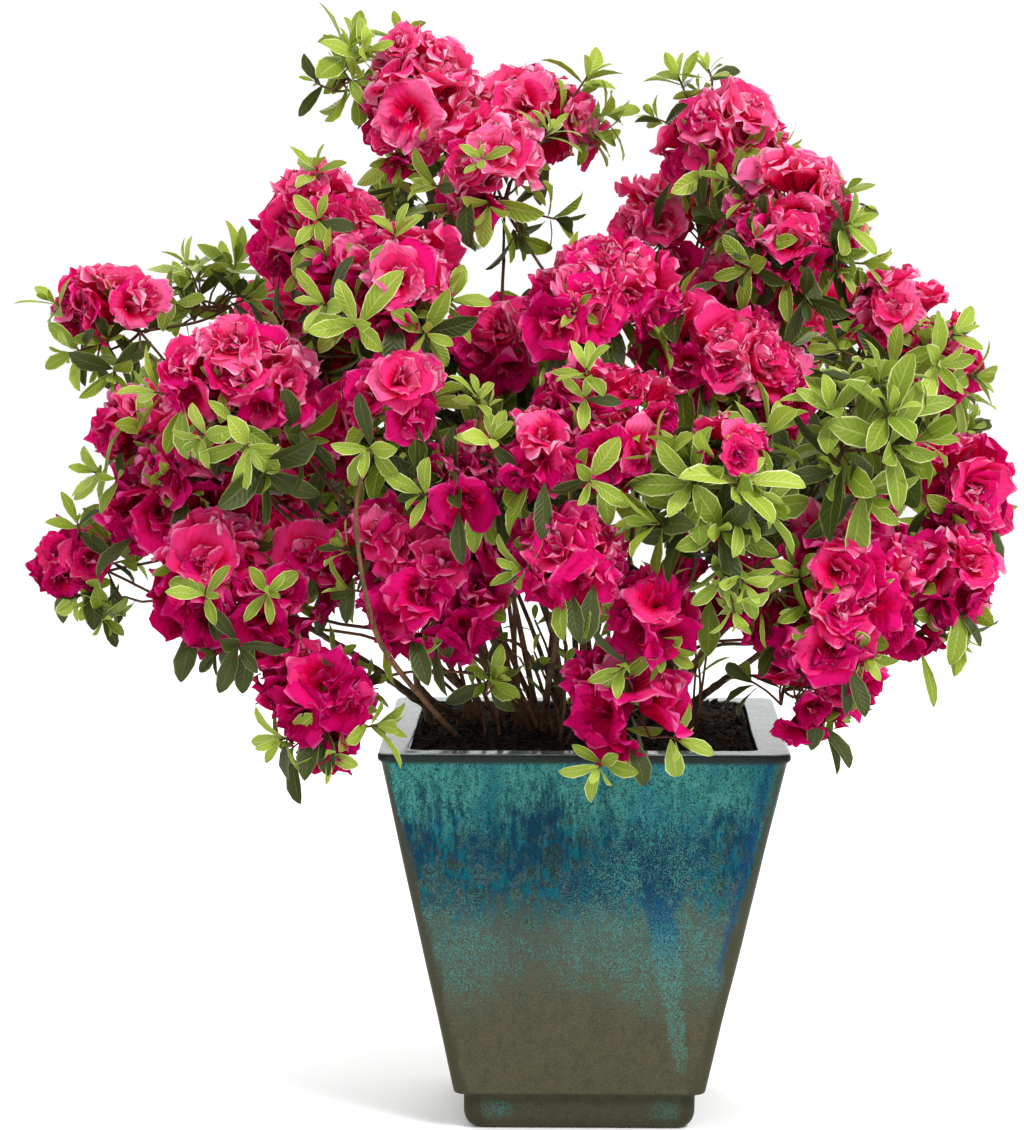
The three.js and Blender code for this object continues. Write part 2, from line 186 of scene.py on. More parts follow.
# Trusses of blossom with a place of their own, in the same way: place and size
LONE_TRUSSES = """
leaves_heart: 34 -70 100 1, -112 -70 12 1
leaves_heart_right: -12 -40 120 1, 12 -118 46 1, -30 -100 -130 1
blossom_crest_right_back: -36 -44 30 1
blossom_left_mid: -40 0 -44 1
blossom_left_skirt: 82 20 6 1
blossom_left_mid: -54 40 34 0.95
blossom_left_skirt: 40 -20 -30 1
blossom_front_left: -40 -10 30 1, 44 0 26 1
blossom_right_mid: 36 0 -14 0.9
blossom_crest_left: 4 -12 -6 1.1, 0 0 46 0.72, -8 -12 -28 0.75, 18 16 14 0.85
blossom_crest_back: -6 -4 0 1.05, 20 8 -10 0.85
blossom_crest_front: -6 -12 8 1.15, -10 -4 -16 0.88
blossom_crest_right: 4 -8 2 1.06, -24 4 -22 0.8, 18 20 -10 0.85
blossom_shoulder_left: 2 -12 8 0.98, 28 -14 -10 0.85, -18 -8 -22 0.8, 10 30 -6 0.9
blossom_shoulder_right: -2 -10 24 1, -12 -24 -22 0.9, -42 4 -2 0.75, 18 26 -6 0.95
blossom_left_front: -24 -12 2 0.95, 34 -16 -6 0.95, 6 -4 16 0.95, 4 20 -20 0.9
blossom_far_left: 14 -8 4 0.95, -12 8 6 0.8
blossom_left_reach: 16 -4 12 0.85, -13 -2 0 0.62
blossom_low_left: 12 -10 2 1.04, -14 6 20 0.8, 10 -4 -32 0.75
blossom_front_left: -12 -26 -20 1, 28 -14 -30 0.9
leaves_front_right: 64 50 -96 1, 12 -24 52 0.62
blossom_right_low: -10 -20 -40 1
blossom_skirt_right: 34 10 24 0.85
blossom_centre_high: -20 -26 -6 1.1, 26 -16 14 1
blossom_centre_low: -6 -10 -6 1
blossom_centre_front: -42 -26 -22 0.8, 20 -14 -18 0.95, -6 6 22 0.9, 48 10 14 0.85
blossom_centre_left: -8 -10 -12 0.95
blossom_right_mid: -30 -20 20 1
blossom_crest_right_back: 12 -30 -28 1
blossom_far_right_low: 6 -14 4 1
blossom_far_right: -24 -10 4 0.95
blossom_far_right_low: -36 -10 -42 0.7
blossom_far_right: -14 -6 -26 0.85, -12 30 -4 0.95
blossom_over_rim: 4 -12 6 1.08, -8 14 22 0.9
blossom_far_right_high: -20 -10 18 1, 26 10 -24 0.85, 10 36 10 0.9
"""

rng = np.random.default_rng(20)


# ---- Small helpers ----
def unit(v):
    v = np.asarray(v, float)
    return v / max(np.linalg.norm(v), 1e-12)


def basis(forward):
    """Rows: right, up and forward of a right-handed frame whose third axis is forward."""
    f = unit(forward)
    helper = np.array([0.0, 1.0, 0.0] if abs(f[2]) > 0.98 else [0.0, 0.0, 1.0])
    right = unit(np.cross(helper, f))
    return np.array([right, np.cross(f, right), f])


def turned(frame3, angle):
    """The frame turned about its own third axis."""
    right, up, forward = frame3
    c, s = math.cos(angle), math.sin(angle)
    return np.array([c * right + s * up, -s * right + c * up, forward])


def jitter(direction, amount):
    return unit(np.asarray(direction) + amount * rng.normal(size=3))


def angle_between(low, high):
    """A random angle in radians, between two in degrees."""
    return math.radians(rng.uniform(low, high))


def count_between(low, high):
    """A random count from low to one less than high."""
    return int(rng.integers(low, high))


def ring_point(out, angle, z):
    """The point at a distance and an angle from the vertical axis, at a height."""
    return np.array([out * math.cos(angle), out * math.sin(angle), z])


def smooth_path(points, steps):
    """A Catmull-Rom curve through the points, evenly divided."""
    p = np.asarray(points, float)
    p = np.vstack([2 * p[0] - p[1], p, 2 * p[-1] - p[-2]])
    out = []
    for i in range(1, len(p) - 2):
        for t in np.linspace(0, 1, steps, endpoint=False):
            a, b, c, d = p[i - 1 : i + 3]
            out.append(0.5 * (2 * b + (c - a) * t + (2 * a - 5 * b + 4 * c - d) * t * t
                              + (3 * b - a - 3 * c + d) * t ** 3))
    out.append(p[-2])
    return np.array(out)


def grid_quads(rows, columns, closed=False):
    """Quads of a grid of (rows + 1) by columns vertices, or (columns + 1) where it is open."""
    across = columns if closed else columns + 1
    r, c = np.meshgrid(np.arange(rows), np.arange(columns), indexing="ij")
    a = (r * across + c).ravel()
    b = (r * across + (c + 1) % across).ravel()
    return np.stack([a, b, b + across, a + across], axis=1)


def new_object(name, data):
    made = bpy.data.objects.new(name, data)
    bpy.context.scene.collection.objects.link(made)
    return made


# ---- Joined pieces ----
class Pile:
    """Many small shapes gathered into one mesh of quads."""

    def __init__(self):
        self.points, self.quads, self.uvs, self.slots = [], [], [], []
        self.size = 0
        self.quad_count = 0

    def add(self, points, quads, uv=None, slot=0):
        self.points.append(points)
        self.quads.append(quads + self.size)
        self.uvs.append(np.zeros((len(points), 2)) if uv is None else uv)
        self.slots.append(np.broadcast_to(np.asarray(slot, dtype=np.int32), len(quads)))
        self.size += len(points)
        self.quad_count += len(quads)

    def build(self, name, materials, smooth=True, uv_name=None):
        points = np.concatenate(self.points).astype(np.float32)
        quads = np.concatenate(self.quads).astype(np.int32)
        mesh = bpy.data.meshes.new(name)
        mesh.vertices.add(len(points))
        mesh.vertices.foreach_set("co", points.ravel())
        mesh.loops.add(quads.size)
        mesh.loops.foreach_set("vertex_index", quads.ravel())
        mesh.polygons.add(len(quads))
        mesh.polygons.foreach_set("loop_start", np.arange(0, quads.size, 4, dtype=np.int32))
        mesh.polygons.foreach_set("use_smooth", np.full(len(quads), smooth))
        mesh.polygons.foreach_set("material_index", np.concatenate(self.slots))
        if uv_name:
            layer = mesh.uv_layers.new(name=uv_name)
            uv = np.concatenate(self.uvs).astype(np.float32)[quads.ravel()]
            layer.data.foreach_set("uv", uv.ravel())
        mesh.update()
        mesh.validate()
        for material in materials:
            mesh.materials.append(material)
        return new_object(name, mesh)


def add_to_last(piles, room, *shape):
    """Add a small shape to the last pile, or to a new one where that has no room for so many quads."""
    if piles[-1].quad_count > MAX_PIECE_QUADS - room:
        piles.append(Pile())
    piles[-1].add(*shape)


def tube(pile, path, radii, sides, slot=0, relief=None):
    """A round limb along a path; relief(ring angles, along) gives its bark's height."""
    path = np.asarray(path, float)
    radii = np.broadcast_to(radii, len(path))
    tangents = np.gradient(path, axis=0)
    tangents /= np.linalg.norm(tangents, axis=1, keepdims=True) + 1e-12
    right = basis(tangents[0])[0]
    angles = np.arange(sides) * TURN / sides
    lengths = np.concatenate([[0], np.cumsum(np.linalg.norm(np.diff(path, axis=0), axis=1))])
    rings = []
    for centre, tangent, radius, along in zip(path, tangents, radii, lengths):
        right = unit(right - tangent * (right @ tangent))
        up = np.cross(tangent, right)
        r = radius * (1 + relief(angles, along) if relief else 1)
        offsets = np.outer(np.cos(angles) * r, right) + np.outer(np.sin(angles) * r, up)
        rings.append(centre + offsets)
    around = np.linspace(0, 1, sides, endpoint=False)
    uv = np.stack([np.tile(around, len(path)), np.repeat(lengths, sides)], axis=1)
    pile.add(np.concatenate(rings), grid_quads(len(path) - 1, sides, closed=True), uv, slot)


# ---- Materials ----
def srgb(r, g, b):
    """Linear colour from 0-255 display values."""
    def linear(c):
        c /= 255
        return c / 12.92 if c <= 0.04045 else ((c + 0.055) / 1.055) ** 2.4
    return (linear(r), linear(g), linear(b), 1.0)


class Shader:
    """A material's node tree, with short ways to add nodes."""

    def __init__(self, name):
        self.material = bpy.data.materials.new(name)
        self.material.use_nodes = True
        self.tree = self.material.node_tree
        self.tree.nodes.clear()
        self.output = self.tree.nodes.new("ShaderNodeOutputMaterial")

    def node(self, kind, inputs=(), **settings):
        """A node with its settings, and with values or links put into its inputs."""
        made = self.tree.nodes.new("ShaderNode" + kind)
        for key, value in settings.items():
            setattr(made, key, value)
        for key, value in dict(inputs).items():
            self.put(value, made.inputs[key])
        return made

    def put(self, value, socket):
        if isinstance(value, bpy.types.NodeSocket):
            self.tree.links.new(value, socket)
        else:
            socket.default_value = value

    def math(self, operation, a, b=0.0):
        return self.node("Math", {0: a, 1: b}, operation=operation).outputs[0]

    def add(self, a, b):
        return self.math("ADD", a, b)

    def sub(self, a, b):
        return self.math("SUBTRACT", a, b)

    def mul(self, a, b):
        return self.math("MULTIPLY", a, b)

    def most(self, a, b):
        return self.math("MAXIMUM", a, b)

    def size(self, a):
        return self.math("ABSOLUTE", a)

    def ramp(self, value, *stops):
        """Eased between stops: (position, colour or grey)."""
        made = self.node("ValToRGB", {0: value})
        made.color_ramp.interpolation = "EASE"
        elements = made.color_ramp.elements
        while len(elements) < len(stops):
            elements.new(0.5)
        for element, (position, colour) in zip(elements, stops):
            element.position = position
            grey = isinstance(colour, (int, float))
            element.color = (colour, colour, colour, 1) if grey else colour
        return made.outputs[0]

    def mix(self, factor, a, b):
        return self.node("Mix", {0: factor, 6: a, 7: b}, data_type="RGBA").outputs[2]

    def place(self, upright=1.0):
        """Object coordinates; the pattern on them runs upright where its scale that way is under 1."""
        coordinates = self.node("TexCoord").outputs["Object"]
        return self.node("Mapping", {"Vector": coordinates, "Scale": (1, 1, upright)}).outputs[0]

    def noise(self, vector, scale, detail, roughness):
        inputs = {"Vector": vector, "Scale": scale, "Detail": detail, "Roughness": roughness}
        return self.node("TexNoise", inputs).outputs["Fac"]

    def bump(self, height, distance, strength=1.0):
        inputs = {"Height": height, "Distance": distance, "Strength": strength}
        return self.node("Bump", inputs).outputs[0]

    def principled(self, colour, roughness, gloss, normal):
        inputs = {"Base Color": colour, "Roughness": roughness, "Normal": normal,
                  "Specular IOR Level": gloss}
        return self.node("BsdfPrincipled", inputs).outputs[0]

    def done(self, surface):
        self.put(surface, self.output.inputs["Surface"])
        return self.material


def thin_surface(s, colour, glow, share, gloss, normal):
    """A thin sheet: a Principled face that lets some light through."""
    face = s.principled(colour, 0.5, gloss, normal)
    through = s.node("BsdfTranslucent", {"Color": glow}).outputs[0]
    return s.done(s.node("MixShader", {0: share, 1: face, 2: through}).outputs[0])


UV_NAME = "OFBake"  # the leaves' and petals' own map: across a tile a tint, and along the blade


def blade_coordinates(s, tile, tiles):
    """Across the blade from -1 to 1, and along it from 0 to 1, in one tint's tile."""
    source = s.node("UVMap", uv_map=UV_NAME).outputs[0]
    x, along, _ = s.node("SeparateXYZ", {0: source}).outputs
    return s.mul(s.sub(s.mul(x, float(tiles)), tile + 0.5), 2.0), along


def leaf_material(name, tile, tiles, blade, vein, margin):
    s = Shader(name)
    across, along = blade_coordinates(s, tile, tiles)
    side = s.size(across)
    swept = s.sub(along, s.mul(side, 0.22))
    ribs = s.math("SINE", s.mul(swept, 58.0))
    vein_shade_lines = s.ramp(ribs, (0.6, 0.0), (1.0, 1.0))
    # Painted shade: the impressed side veins are darkened, as shadow would fall in their furrows.
    vein_furrow_shade = (*(0.5 * c for c in blade[:3]), 1.0)
    midrib = s.ramp(side, (0.03, 1.0), (0.12, 0.0))
    edge = s.ramp(side, (0.80, 0.0), (0.93, 1.0))
    tone = s.mix(s.mul(vein_shade_lines, 0.42), blade, vein_furrow_shade)
    tone = s.mix(s.mul(midrib, 0.8), tone, vein)
    tone = s.mix(s.mul(edge, 0.9), tone, margin)
    furrows = s.sub(s.mul(ribs, 0.35), midrib)
    normal = s.bump(furrows, 0.0008, 0.7)
    return thin_surface(s, tone, blade, 0.25, 0.34, normal)


def petal_material(name, tile, tiles, throat, blade, margin):
    s = Shader(name)
    across, along = blade_coordinates(s, tile, tiles)
    reach = s.add(along, s.mul(s.math("POWER", s.size(across), 4.0), 0.16))
    # The pale margin is partly the petal's own paler edge and partly a painted highlight along it.
    tone = s.ramp(reach, (0.0, throat), (0.45, throat), (0.75, blade), (0.90, blade), (1.0, margin))
    fan = s.math("SINE", s.mul(across, 24.0))
    lines = s.ramp(fan, (0.5, 0.0), (1.0, 1.0))
    fade = s.ramp(along, (0.1, 1.0), (0.9, 0.0))
    tone = s.mix(s.mul(s.mul(lines, fade), 0.5), tone, throat)
    waves = s.math("SINE", s.add(s.mul(along, 21.0), s.mul(fan, 1.2)))
    crinkle = s.add(s.mul(fan, 0.6), s.mul(waves, 0.5))
    normal = s.bump(crinkle, 0.0008, 0.7)
    glow = tuple(0.6 * deep + 0.4 * light for deep, light in zip(throat, blade))
    return thin_surface(s, tone, glow, 0.40, 0.02, normal)


LEAF_TINTS = [  # blade, veins, margin
    ("leaf_young", srgb(174, 194, 72), srgb(212, 222, 132), srgb(242, 246, 194)),
    ("leaf_fresh", srgb(152, 175, 56), srgb(194, 208, 110), srgb(234, 240, 174)),
    ("leaf_mature", srgb(126, 148, 40), srgb(166, 181, 88), srgb(218, 226, 150)),
    ("leaf_old", srgb(60, 70, 22), srgb(86, 97, 44), srgb(124, 134, 74)),
]
# From deep to pale. The crown deals them out partly as painted light and shade: pale where lit, deep low
# down and inside.
PETAL_TINTS = [  # throat, blade, margin
    ("petal_crimson", srgb(176, 0, 60), srgb(196, 2, 94), srgb(220, 46, 134)),
    ("petal_cerise", srgb(212, 0, 68), srgb(228, 20, 120), srgb(243, 100, 168)),
    ("petal_rose", srgb(232, 0, 78), srgb(241, 54, 132), srgb(253, 148, 194)),
    ("petal_pink", srgb(242, 8, 90), srgb(249, 108, 168), srgb(255, 198, 225)),
]


def tint_materials(make, tints):
    return [make(name, i, len(tints), *colours) for i, (name, *colours) in enumerate(tints)]


def bark_material(name, light, dark, scale, relief=0.0012):
    s = Shader(name)
    place = s.place(0.35)
    coarse = s.noise(place, scale, 5, 0.6)
    fine = s.noise(place, scale * 5, 4, 0.6)
    both = s.add(s.mul(coarse, 0.6), s.mul(fine, 0.4))
    tone = s.ramp(both, (0.32, dark), (0.66, light))
    return s.done(s.principled(tone, 0.85, 0.25, s.bump(both, relief)))


# ---- The planter ----
def rounded_square(half, corner, per_side, per_corner):
    """Outline of a square with rounded corners, the same stations at every size."""
    corner = min(corner, half)
    points = []
    for quarter in range(4):
        middle = (quarter + 0.5) * math.pi / 2
        cx, cy = (math.copysign(half - corner, f(middle)) for f in (math.cos, math.sin))
        for i in range(per_corner + 1):
            a = (quarter + i / per_corner) * math.pi / 2
            points.append((cx + corner * math.cos(a), cy + corner * math.sin(a)))
        ax, ay = points[-1]
        b = (quarter + 1) * math.pi / 2
        nx, ny = (math.copysign(half - corner, f(middle + math.pi / 2)) for f in (math.cos, math.sin))
        bx, by = nx + corner * math.cos(b), ny + corner * math.sin(b)
        for i in range(1, per_side):
            k = i / per_side
            points.append((ax + (bx - ax) * k, ay + (by - ay) * k))
    return np.array(points)


def wall_half(z):
    return BODY_FOOT_HALF + (RIM_HALF - BODY_FOOT_HALF) * (z - FOOT_HEIGHT) / (RIM_TOP - FOOT_HEIGHT)


def arc(centre, radius, start, end, steps):
    """Points of an arc in the profile's plane, angles in degrees from outward, towards up."""
    angles = np.radians(np.linspace(start, end, steps + 1))
    return [(centre[0] + radius * math.cos(a), centre[1] + radius * math.sin(a)) for a in angles]


def planter_profile():
    """Half widths and heights, from the middle of the underside round to the inner floor."""
    lip_low = RIM_TOP - LIP_HEIGHT
    lip_edge = RIM_HALF + BEAD - EDGE_ROUND
    body_low = FOOT_HEIGHT + 0.004
    inner = RIM_HALF - RIM_LAND
    foot_edge = arc((FOOT_HALF - FOOT_ROUND, FOOT_ROUND), FOOT_ROUND, -90, 0, 8)
    points = [(0.0, 0.0), (0.05, 0.0)]
    points += [(h, 1.5 * v) for h, v in foot_edge]
    points += [(FOOT_HALF, z) for z in np.linspace(0.023, FOOT_HEIGHT - 0.007, 3)]
    points += arc((FOOT_HALF + 0.006, FOOT_HEIGHT - 0.005), 0.006, 180, 90, 5)
    points += arc((wall_half(body_low) - EDGE_ROUND, body_low), EDGE_ROUND, -70, 0, 4)
    points += [(wall_half(z), z) for z in np.linspace(body_low + 0.004, lip_low - 0.003, 50)]
    points += arc((lip_edge, lip_low + 0.002), EDGE_ROUND, -50, 0, 3)
    points += arc((lip_edge, RIM_TOP - EDGE_ROUND), EDGE_ROUND, 0, 90, 5)
    points += [(h, RIM_TOP) for h in np.linspace(RIM_HALF - 0.006, inner + 0.006, 8)]
    points += arc((inner + EDGE_ROUND, RIM_TOP - EDGE_ROUND), EDGE_ROUND, 90, 180, 4)
    points += [(inner, RIM_TOP - 0.012), (wall_half(0.366) - WALL, 0.366)]
    points += [(wall_half(INNER_FLOOR) - WALL, INNER_FLOOR), (0.0, INNER_FLOOR)]
    return points


def throw_by_hand(points):
    """Slow waves in the walls, none on the underside, and the pot's lean."""
    x, y, z = points.T
    wave = np.sin(x * 23 + z * 17) * np.sin(y * 19 - z * 11)
    fine = np.sin(x * 61 + 1.3) * np.sin(y * 57 + 0.4) * np.sin(z * 47)
    lift = np.clip(z / 0.05, 0, 1)
    outward = points[:, :2] / (np.linalg.norm(points[:, :2], axis=1, keepdims=True) + 1e-9)
    points[:, :2] += outward * ((0.0007 * wave + 0.0003 * fine) * lift)[:, None]
    points[:, 0] += LEAN * (z - RIM_TOP / 2)


def build_planter(glaze, rim_glaze):
    per_side, per_corner = 26, 6
    stations = 4 * (per_side + per_corner)
    profile = planter_profile()
    outlines = [rounded_square(max(half, 1e-4), CORNER, per_side, per_corner) for half, _ in profile]
    heights = np.repeat([z for _, z in profile], stations)
    points = np.column_stack([np.concatenate(outlines), heights])
    throw_by_hand(points)
    on_rim = [low > RIM_TOP - 0.001 and high > RIM_TOP - 0.004
              for (_, low), (_, high) in zip(profile, profile[1:])]
    pile = Pile()
    pile.add(points, grid_quads(len(profile) - 1, stations, closed=True), slot=np.repeat(on_rim, stations))
    piece = pile.build("planter_glazed", [glaze, rim_glaze])
    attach(piece, "root")
    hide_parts("planter")


OLIVE, OLIVE_LOW, OLIVE_PALE = srgb(68, 75, 67), srgb(77, 74, 55), srgb(112, 112, 92)
TEAL, TEAL_HIGH, TURQUOISE = srgb(16, 78, 78), srgb(14, 98, 98), srgb(66, 132, 126)
BLUE, SEA, NAVY = srgb(4, 52, 72), srgb(9, 85, 98), srgb(7, 30, 58)
# A dark glaze colour for specks, blotches and murk, and also the colour of the painted shade on the foot.
DARK_GLAZE_AND_SHADE = srgb(28, 32, 29)


class Glaze(Shader):
    """The planter's glaze, with the coordinates and patterns that its layers share."""

    def __init__(self):
        super().__init__("glaze")
        coordinates = self.node("TexCoord").outputs["Object"]
        x, y, self.z = self.node("SeparateXYZ", {0: coordinates}).outputs
        wide, deep = self.size(x), self.size(y)
        on_side = self.math("GREATER_THAN", wide, deep)
        flat_on = self.sub(1.0, on_side)
        self.front = self.mul(flat_on, self.math("LESS_THAN", y, 0.0))
        self.left = self.mul(on_side, self.math("LESS_THAN", x, 0.0))
        self.front_right = self.mul(self.front, self.math("GREATER_THAN", x, 0.0))
        self.across = self.add(self.mul(x, flat_on), self.mul(y, on_side))  # along the face
        self.from_corner = self.size(self.sub(wide, deep))
        self.fibres = self.noise(self.place(0.14), 190, 4, 0.65)
        self.streaks = self.noise(self.place(0.2), 62, 3, 0.6)
        self.broad = self.noise(self.place(0.5), 13, 2, 0.5)
        self.grain = self.noise(self.place(), 520, 2, 0.55)
        self.blotch = self.noise(self.place(0.7), 95, 3, 0.65)
        self.dust = self.noise(self.place(), 950, 2, 0.7)
        sway = self.add(self.swing(self.streaks, 0.07), self.swing(self.broad, 0.05))
        fuzz = self.add(self.swing(self.fibres, 0.11), self.swing(self.blotch, 0.05))
        self.level = self.add(self.add(self.z, sway), fuzz)  # an uneven height, for the layers' ends

    def swing(self, pattern, amount):
        """A pattern about its middle, times an amount."""
        return self.mul(self.sub(pattern, 0.5), amount)


def glaze_ground(g):
    """Olive, browner low down, with darker blotches and dark and pale dust."""
    tone = g.mix(g.ramp(g.z, (0.10, 1.0), (0.24, 0.0)), OLIVE, OLIVE_LOW)
    tone = g.mix(g.mul(g.ramp(g.blotch, (0.4, 0.0), (0.7, 1.0)), 0.25), tone, DARK_GLAZE_AND_SHADE)
    tone = g.mix(g.ramp(g.dust, (0.36, 0.34), (0.52, 0.0)), tone, DARK_GLAZE_AND_SHADE)
    return g.mix(g.ramp(g.dust, (0.52, 0.0), (0.70, 0.34)), tone, OLIVE_PALE)


def glaze_belt(g, tone):
    """Blue and sea green in fine streaks that run down over the ground, some of them navy."""
    streaky = g.add(g.fibres, g.swing(g.streaks, 0.8))
    belt = g.mix(g.ramp(streaky, (0.42, 0.0), (0.64, 1.0)), BLUE, SEA)
    thin = g.mul(g.ramp(g.z, (0.23, 0.85), (0.31, 0.2)), g.ramp(g.blotch, (0.46, 0.0), (0.60, 1.0)))
    belt = g.mix(thin, belt, OLIVE)
    murk = g.add(g.swing(g.streaks, 0.6), g.swing(g.blotch, 0.8))
    belt = g.mix(g.ramp(murk, (0.0, 0.0), (0.15, 0.8)), belt, DARK_GLAZE_AND_SHADE)
    tone = g.mix(g.ramp(g.level, (0.212, 0.0), (0.256, 1.0)), tone, belt)
    dark = g.ramp(g.add(g.broad, g.swing(g.fibres, 0.35)), (0.50, 0.0), (0.62, 0.9))
    dark = g.mul(dark, g.ramp(g.z, (0.22, 0.0), (0.26, 1.0), (0.30, 1.0), (0.34, 0.0)))
    return g.mix(g.mul(dark, g.ramp(g.grain, (0.40, 0.25), (0.60, 1.0))), tone, NAVY)


def glaze_top(g, tone):
    """Teal with turquoise grain, greener under the lip, and patches of sea green."""
    grainy = g.add(g.mul(g.grain, 0.5), g.mul(g.fibres, 0.5))
    top = g.mix(g.ramp(grainy, (0.36, 0.0), (0.60, 1.0)), TEAL, TURQUOISE)
    top = g.mix(g.ramp(g.z, (0.36, 0.0), (0.42, 0.6)), top, TEAL_HIGH)
    patch = g.ramp(g.add(g.broad, g.mul(g.fibres, 0.3)), (0.66, 0.0), (0.76, 0.8))
    return g.mix(g.ramp(g.level, (0.300, 0.0), (0.365, 1.0)), tone, g.mix(patch, top, SEA))


def drip_shape(g):
    """The long drip of each face, in a place of its own: distance from its line, whole, upper part."""
    place = g.sub(g.mul(g.front, 0.115), g.mul(g.left, 0.06))
    middle = g.add(g.mul(g.sub(0.30, g.z), 0.13), g.sub(place, 0.045))
    half = g.add(g.mul(g.sub(g.z, 0.05), 0.070), 0.007)
    distance = g.size(g.sub(g.across, middle))
    off = g.math("DIVIDE", distance, g.most(half, 0.004))
    off = g.add(g.add(off, g.swing(g.blotch, 1.7)), g.swing(g.fibres, 1.2))
    whole = g.mul(g.ramp(off, (0.60, 1.0), (1.25, 0.0)),
                  g.ramp(g.z, (0.055, 0.0), (0.075, 1.0), (0.27, 1.0), (0.33, 0.0)))
    return distance, whole, g.mul(whole, g.ramp(g.z, (0.165, 0.0), (0.215, 1.0)))


def glaze_drip(g, tone, upper):
    """Navy, then blue; the specks make its tail."""
    height = g.ramp(g.add(g.z, g.swing(g.blotch, 0.10)), (0.225, 0.0), (0.265, 1.0))
    return g.mix(g.mul(upper, 0.85), tone, g.mix(height, srgb(6, 60, 94), srgb(8, 36, 62)))


def glaze_worms(g, tone, distance, drip, upper):
    """Worm-like turquoise specks: fewer low down, thick in the drip's tail, and some on the foot."""
    patches = g.mul(g.sub(g.add(g.broad, g.blotch), 1.0), 1.35)
    amount = g.add(g.ramp(g.z, (0.10, 0.0), (0.20, 0.27), (0.26, 0.18), (0.31, 0.03)), patches)
    amount = g.add(amount, g.ramp(distance, (0.02, 0.22), (0.085, 0.0)))
    amount = g.sub(amount, g.mul(upper, 0.2))
    amount = g.mul(amount, g.ramp(g.z, (0.10, 0.0), (0.17, 1.0)))
    amount = g.most(amount, g.mul(drip, g.ramp(g.z, (0.06, 0.35), (0.19, 0.8), (0.25, 0.0))))
    foot = g.mul(g.ramp(g.z, (0.008, 0.0), (0.014, 1.0), (0.026, 1.0), (0.034, 0.0)),
                 g.ramp(g.size(g.across), (0.060, 0.0), (0.084, 1.0), (0.094, 1.0), (0.106, 0.0)))
    foot = g.mul(foot, g.add(g.swing(g.blotch, 1.6), 0.42))
    amount = g.most(amount, foot)
    lines = g.size(g.sub(g.noise(g.place(), 460, 2, 0.6), 0.5))
    worm = g.ramp(g.math("DIVIDE", lines, g.most(g.mul(amount, 0.09), 0.001)), (0.5, 1.0), (1.0, 0.0))
    return g.mix(g.mul(worm, 0.85), tone, TURQUOISE)


def glaze_run(g, tone):
    """Blue that runs down beside the front's right edge."""
    run = g.add(g.from_corner, g.swing(g.blotch, 0.012))
    run = g.mul(g.ramp(run, (0.009, 0.0), (0.015, 1.0), (0.024, 0.0)),
                g.ramp(g.add(g.z, g.swing(g.fibres, 0.1)), (0.13, 0.0), (0.20, 0.75)))
    return g.mix(g.mul(run, g.front_right), tone, srgb(10, 58, 96))


def glaze_edges(g, tone):
    """Thin glaze along the upright corners, a dark lip, and painted shade on the foot and in the hollow
    over it.
    """
    strip = g.add(g.add(g.from_corner, g.swing(g.streaks, 0.03)), g.mul(g.z, 0.03))
    tone = g.mix(g.mul(g.ramp(strip, (0.013, 1.0), (0.020, 0.0)), 0.9), tone, srgb(62, 60, 44))
    lip = g.ramp(g.z, (RIM_TOP - 0.0105, 0.0), (RIM_TOP - 0.0075, 1.0))
    tone = g.mix(g.mul(lip, 0.92), tone, srgb(38, 36, 34))
    # Painted shade: the foot and the hollow under the body's edge are darkened.
    return g.mix(g.ramp(g.z, (FOOT_HEIGHT - 0.004, 0.34), (FOOT_HEIGHT + 0.006, 0.0)), tone, DARK_GLAZE_AND_SHADE)


def glaze_material():
    """The layers from the clay outwards, each over the last."""
    g = Glaze()
    distance, drip, upper = drip_shape(g)
    tone = glaze_top(g, glaze_belt(g, glaze_ground(g)))
    tone = glaze_drip(g, tone, upper)
    tone = glaze_worms(g, tone, distance, drip, upper)
    tone = glaze_run(g, tone)
    # dark specks where the glaze is thick
    specks = g.mul(g.ramp(g.noise(g.place(), 540, 2, 0.5), (0.59, 0.0), (0.615, 1.0)),
                   g.ramp(g.z, (0.21, 0.1), (0.26, 0.7), (0.34, 1.0)))
    tone = glaze_edges(g, g.mix(g.mul(specks, 0.85), tone, DARK_GLAZE_AND_SHADE))
    rough = g.ramp(g.z, (0.16, 0.42), (0.30, 0.22))
    skin = g.add(g.mul(g.grain, 0.5), g.mul(g.blotch, 0.5))
    normal = g.bump(g.sub(skin, specks), 0.0005, 0.6)
    return g.done(g.principled(tone, rough, 0.05, normal))


def rim_material():
    """The thick, bright glaze on the rim's flat top, speckled dark; its paleness is partly a painted
    reflection of the bright studio.
    """
    s = Shader("glaze_rim")
    specks = s.ramp(s.noise(s.place(), 330, 3, 0.6), (0.58, 0.0), (0.63, 1.0))
    cloud = s.noise(s.place(), 45, 3, 0.5)
    # Painted reflection, in part: the pale tone stands in for the bright studio mirrored in the glossy
    # top.
    tone = s.mix(s.ramp(cloud, (0.35, 0.0), (0.65, 1.0)), srgb(120, 146, 142), srgb(150, 168, 162))
    tone = s.mix(specks, tone, srgb(44, 46, 42))
    normal = s.bump(s.sub(cloud, specks), 0.0004, 0.4)
    return s.done(s.principled(tone, 0.1, 0.6, normal))


# ---- Soil ----
def soil_height(x, y):
    """Lumpy ground, a little higher towards the far corners."""
    edge = np.maximum(np.abs(x), np.abs(y)) / SOIL_HALF
    mound = 0.006 * (1 - edge ** 4) + 0.004 * np.clip(y / SOIL_HALF, 0, 1) * np.abs(x) / SOIL_HALF
    lumps = 0.0022 * np.sin(x * 95 + 2 * np.sin(y * 60)) * np.sin(y * 88 + 1.7)
    lumps = lumps + 0.0014 * np.sin(x * 230 + 1) * np.sin(y * 210 + 2 * np.sin(x * 90))
    return SOIL_TOP - 0.004 + mound + lumps


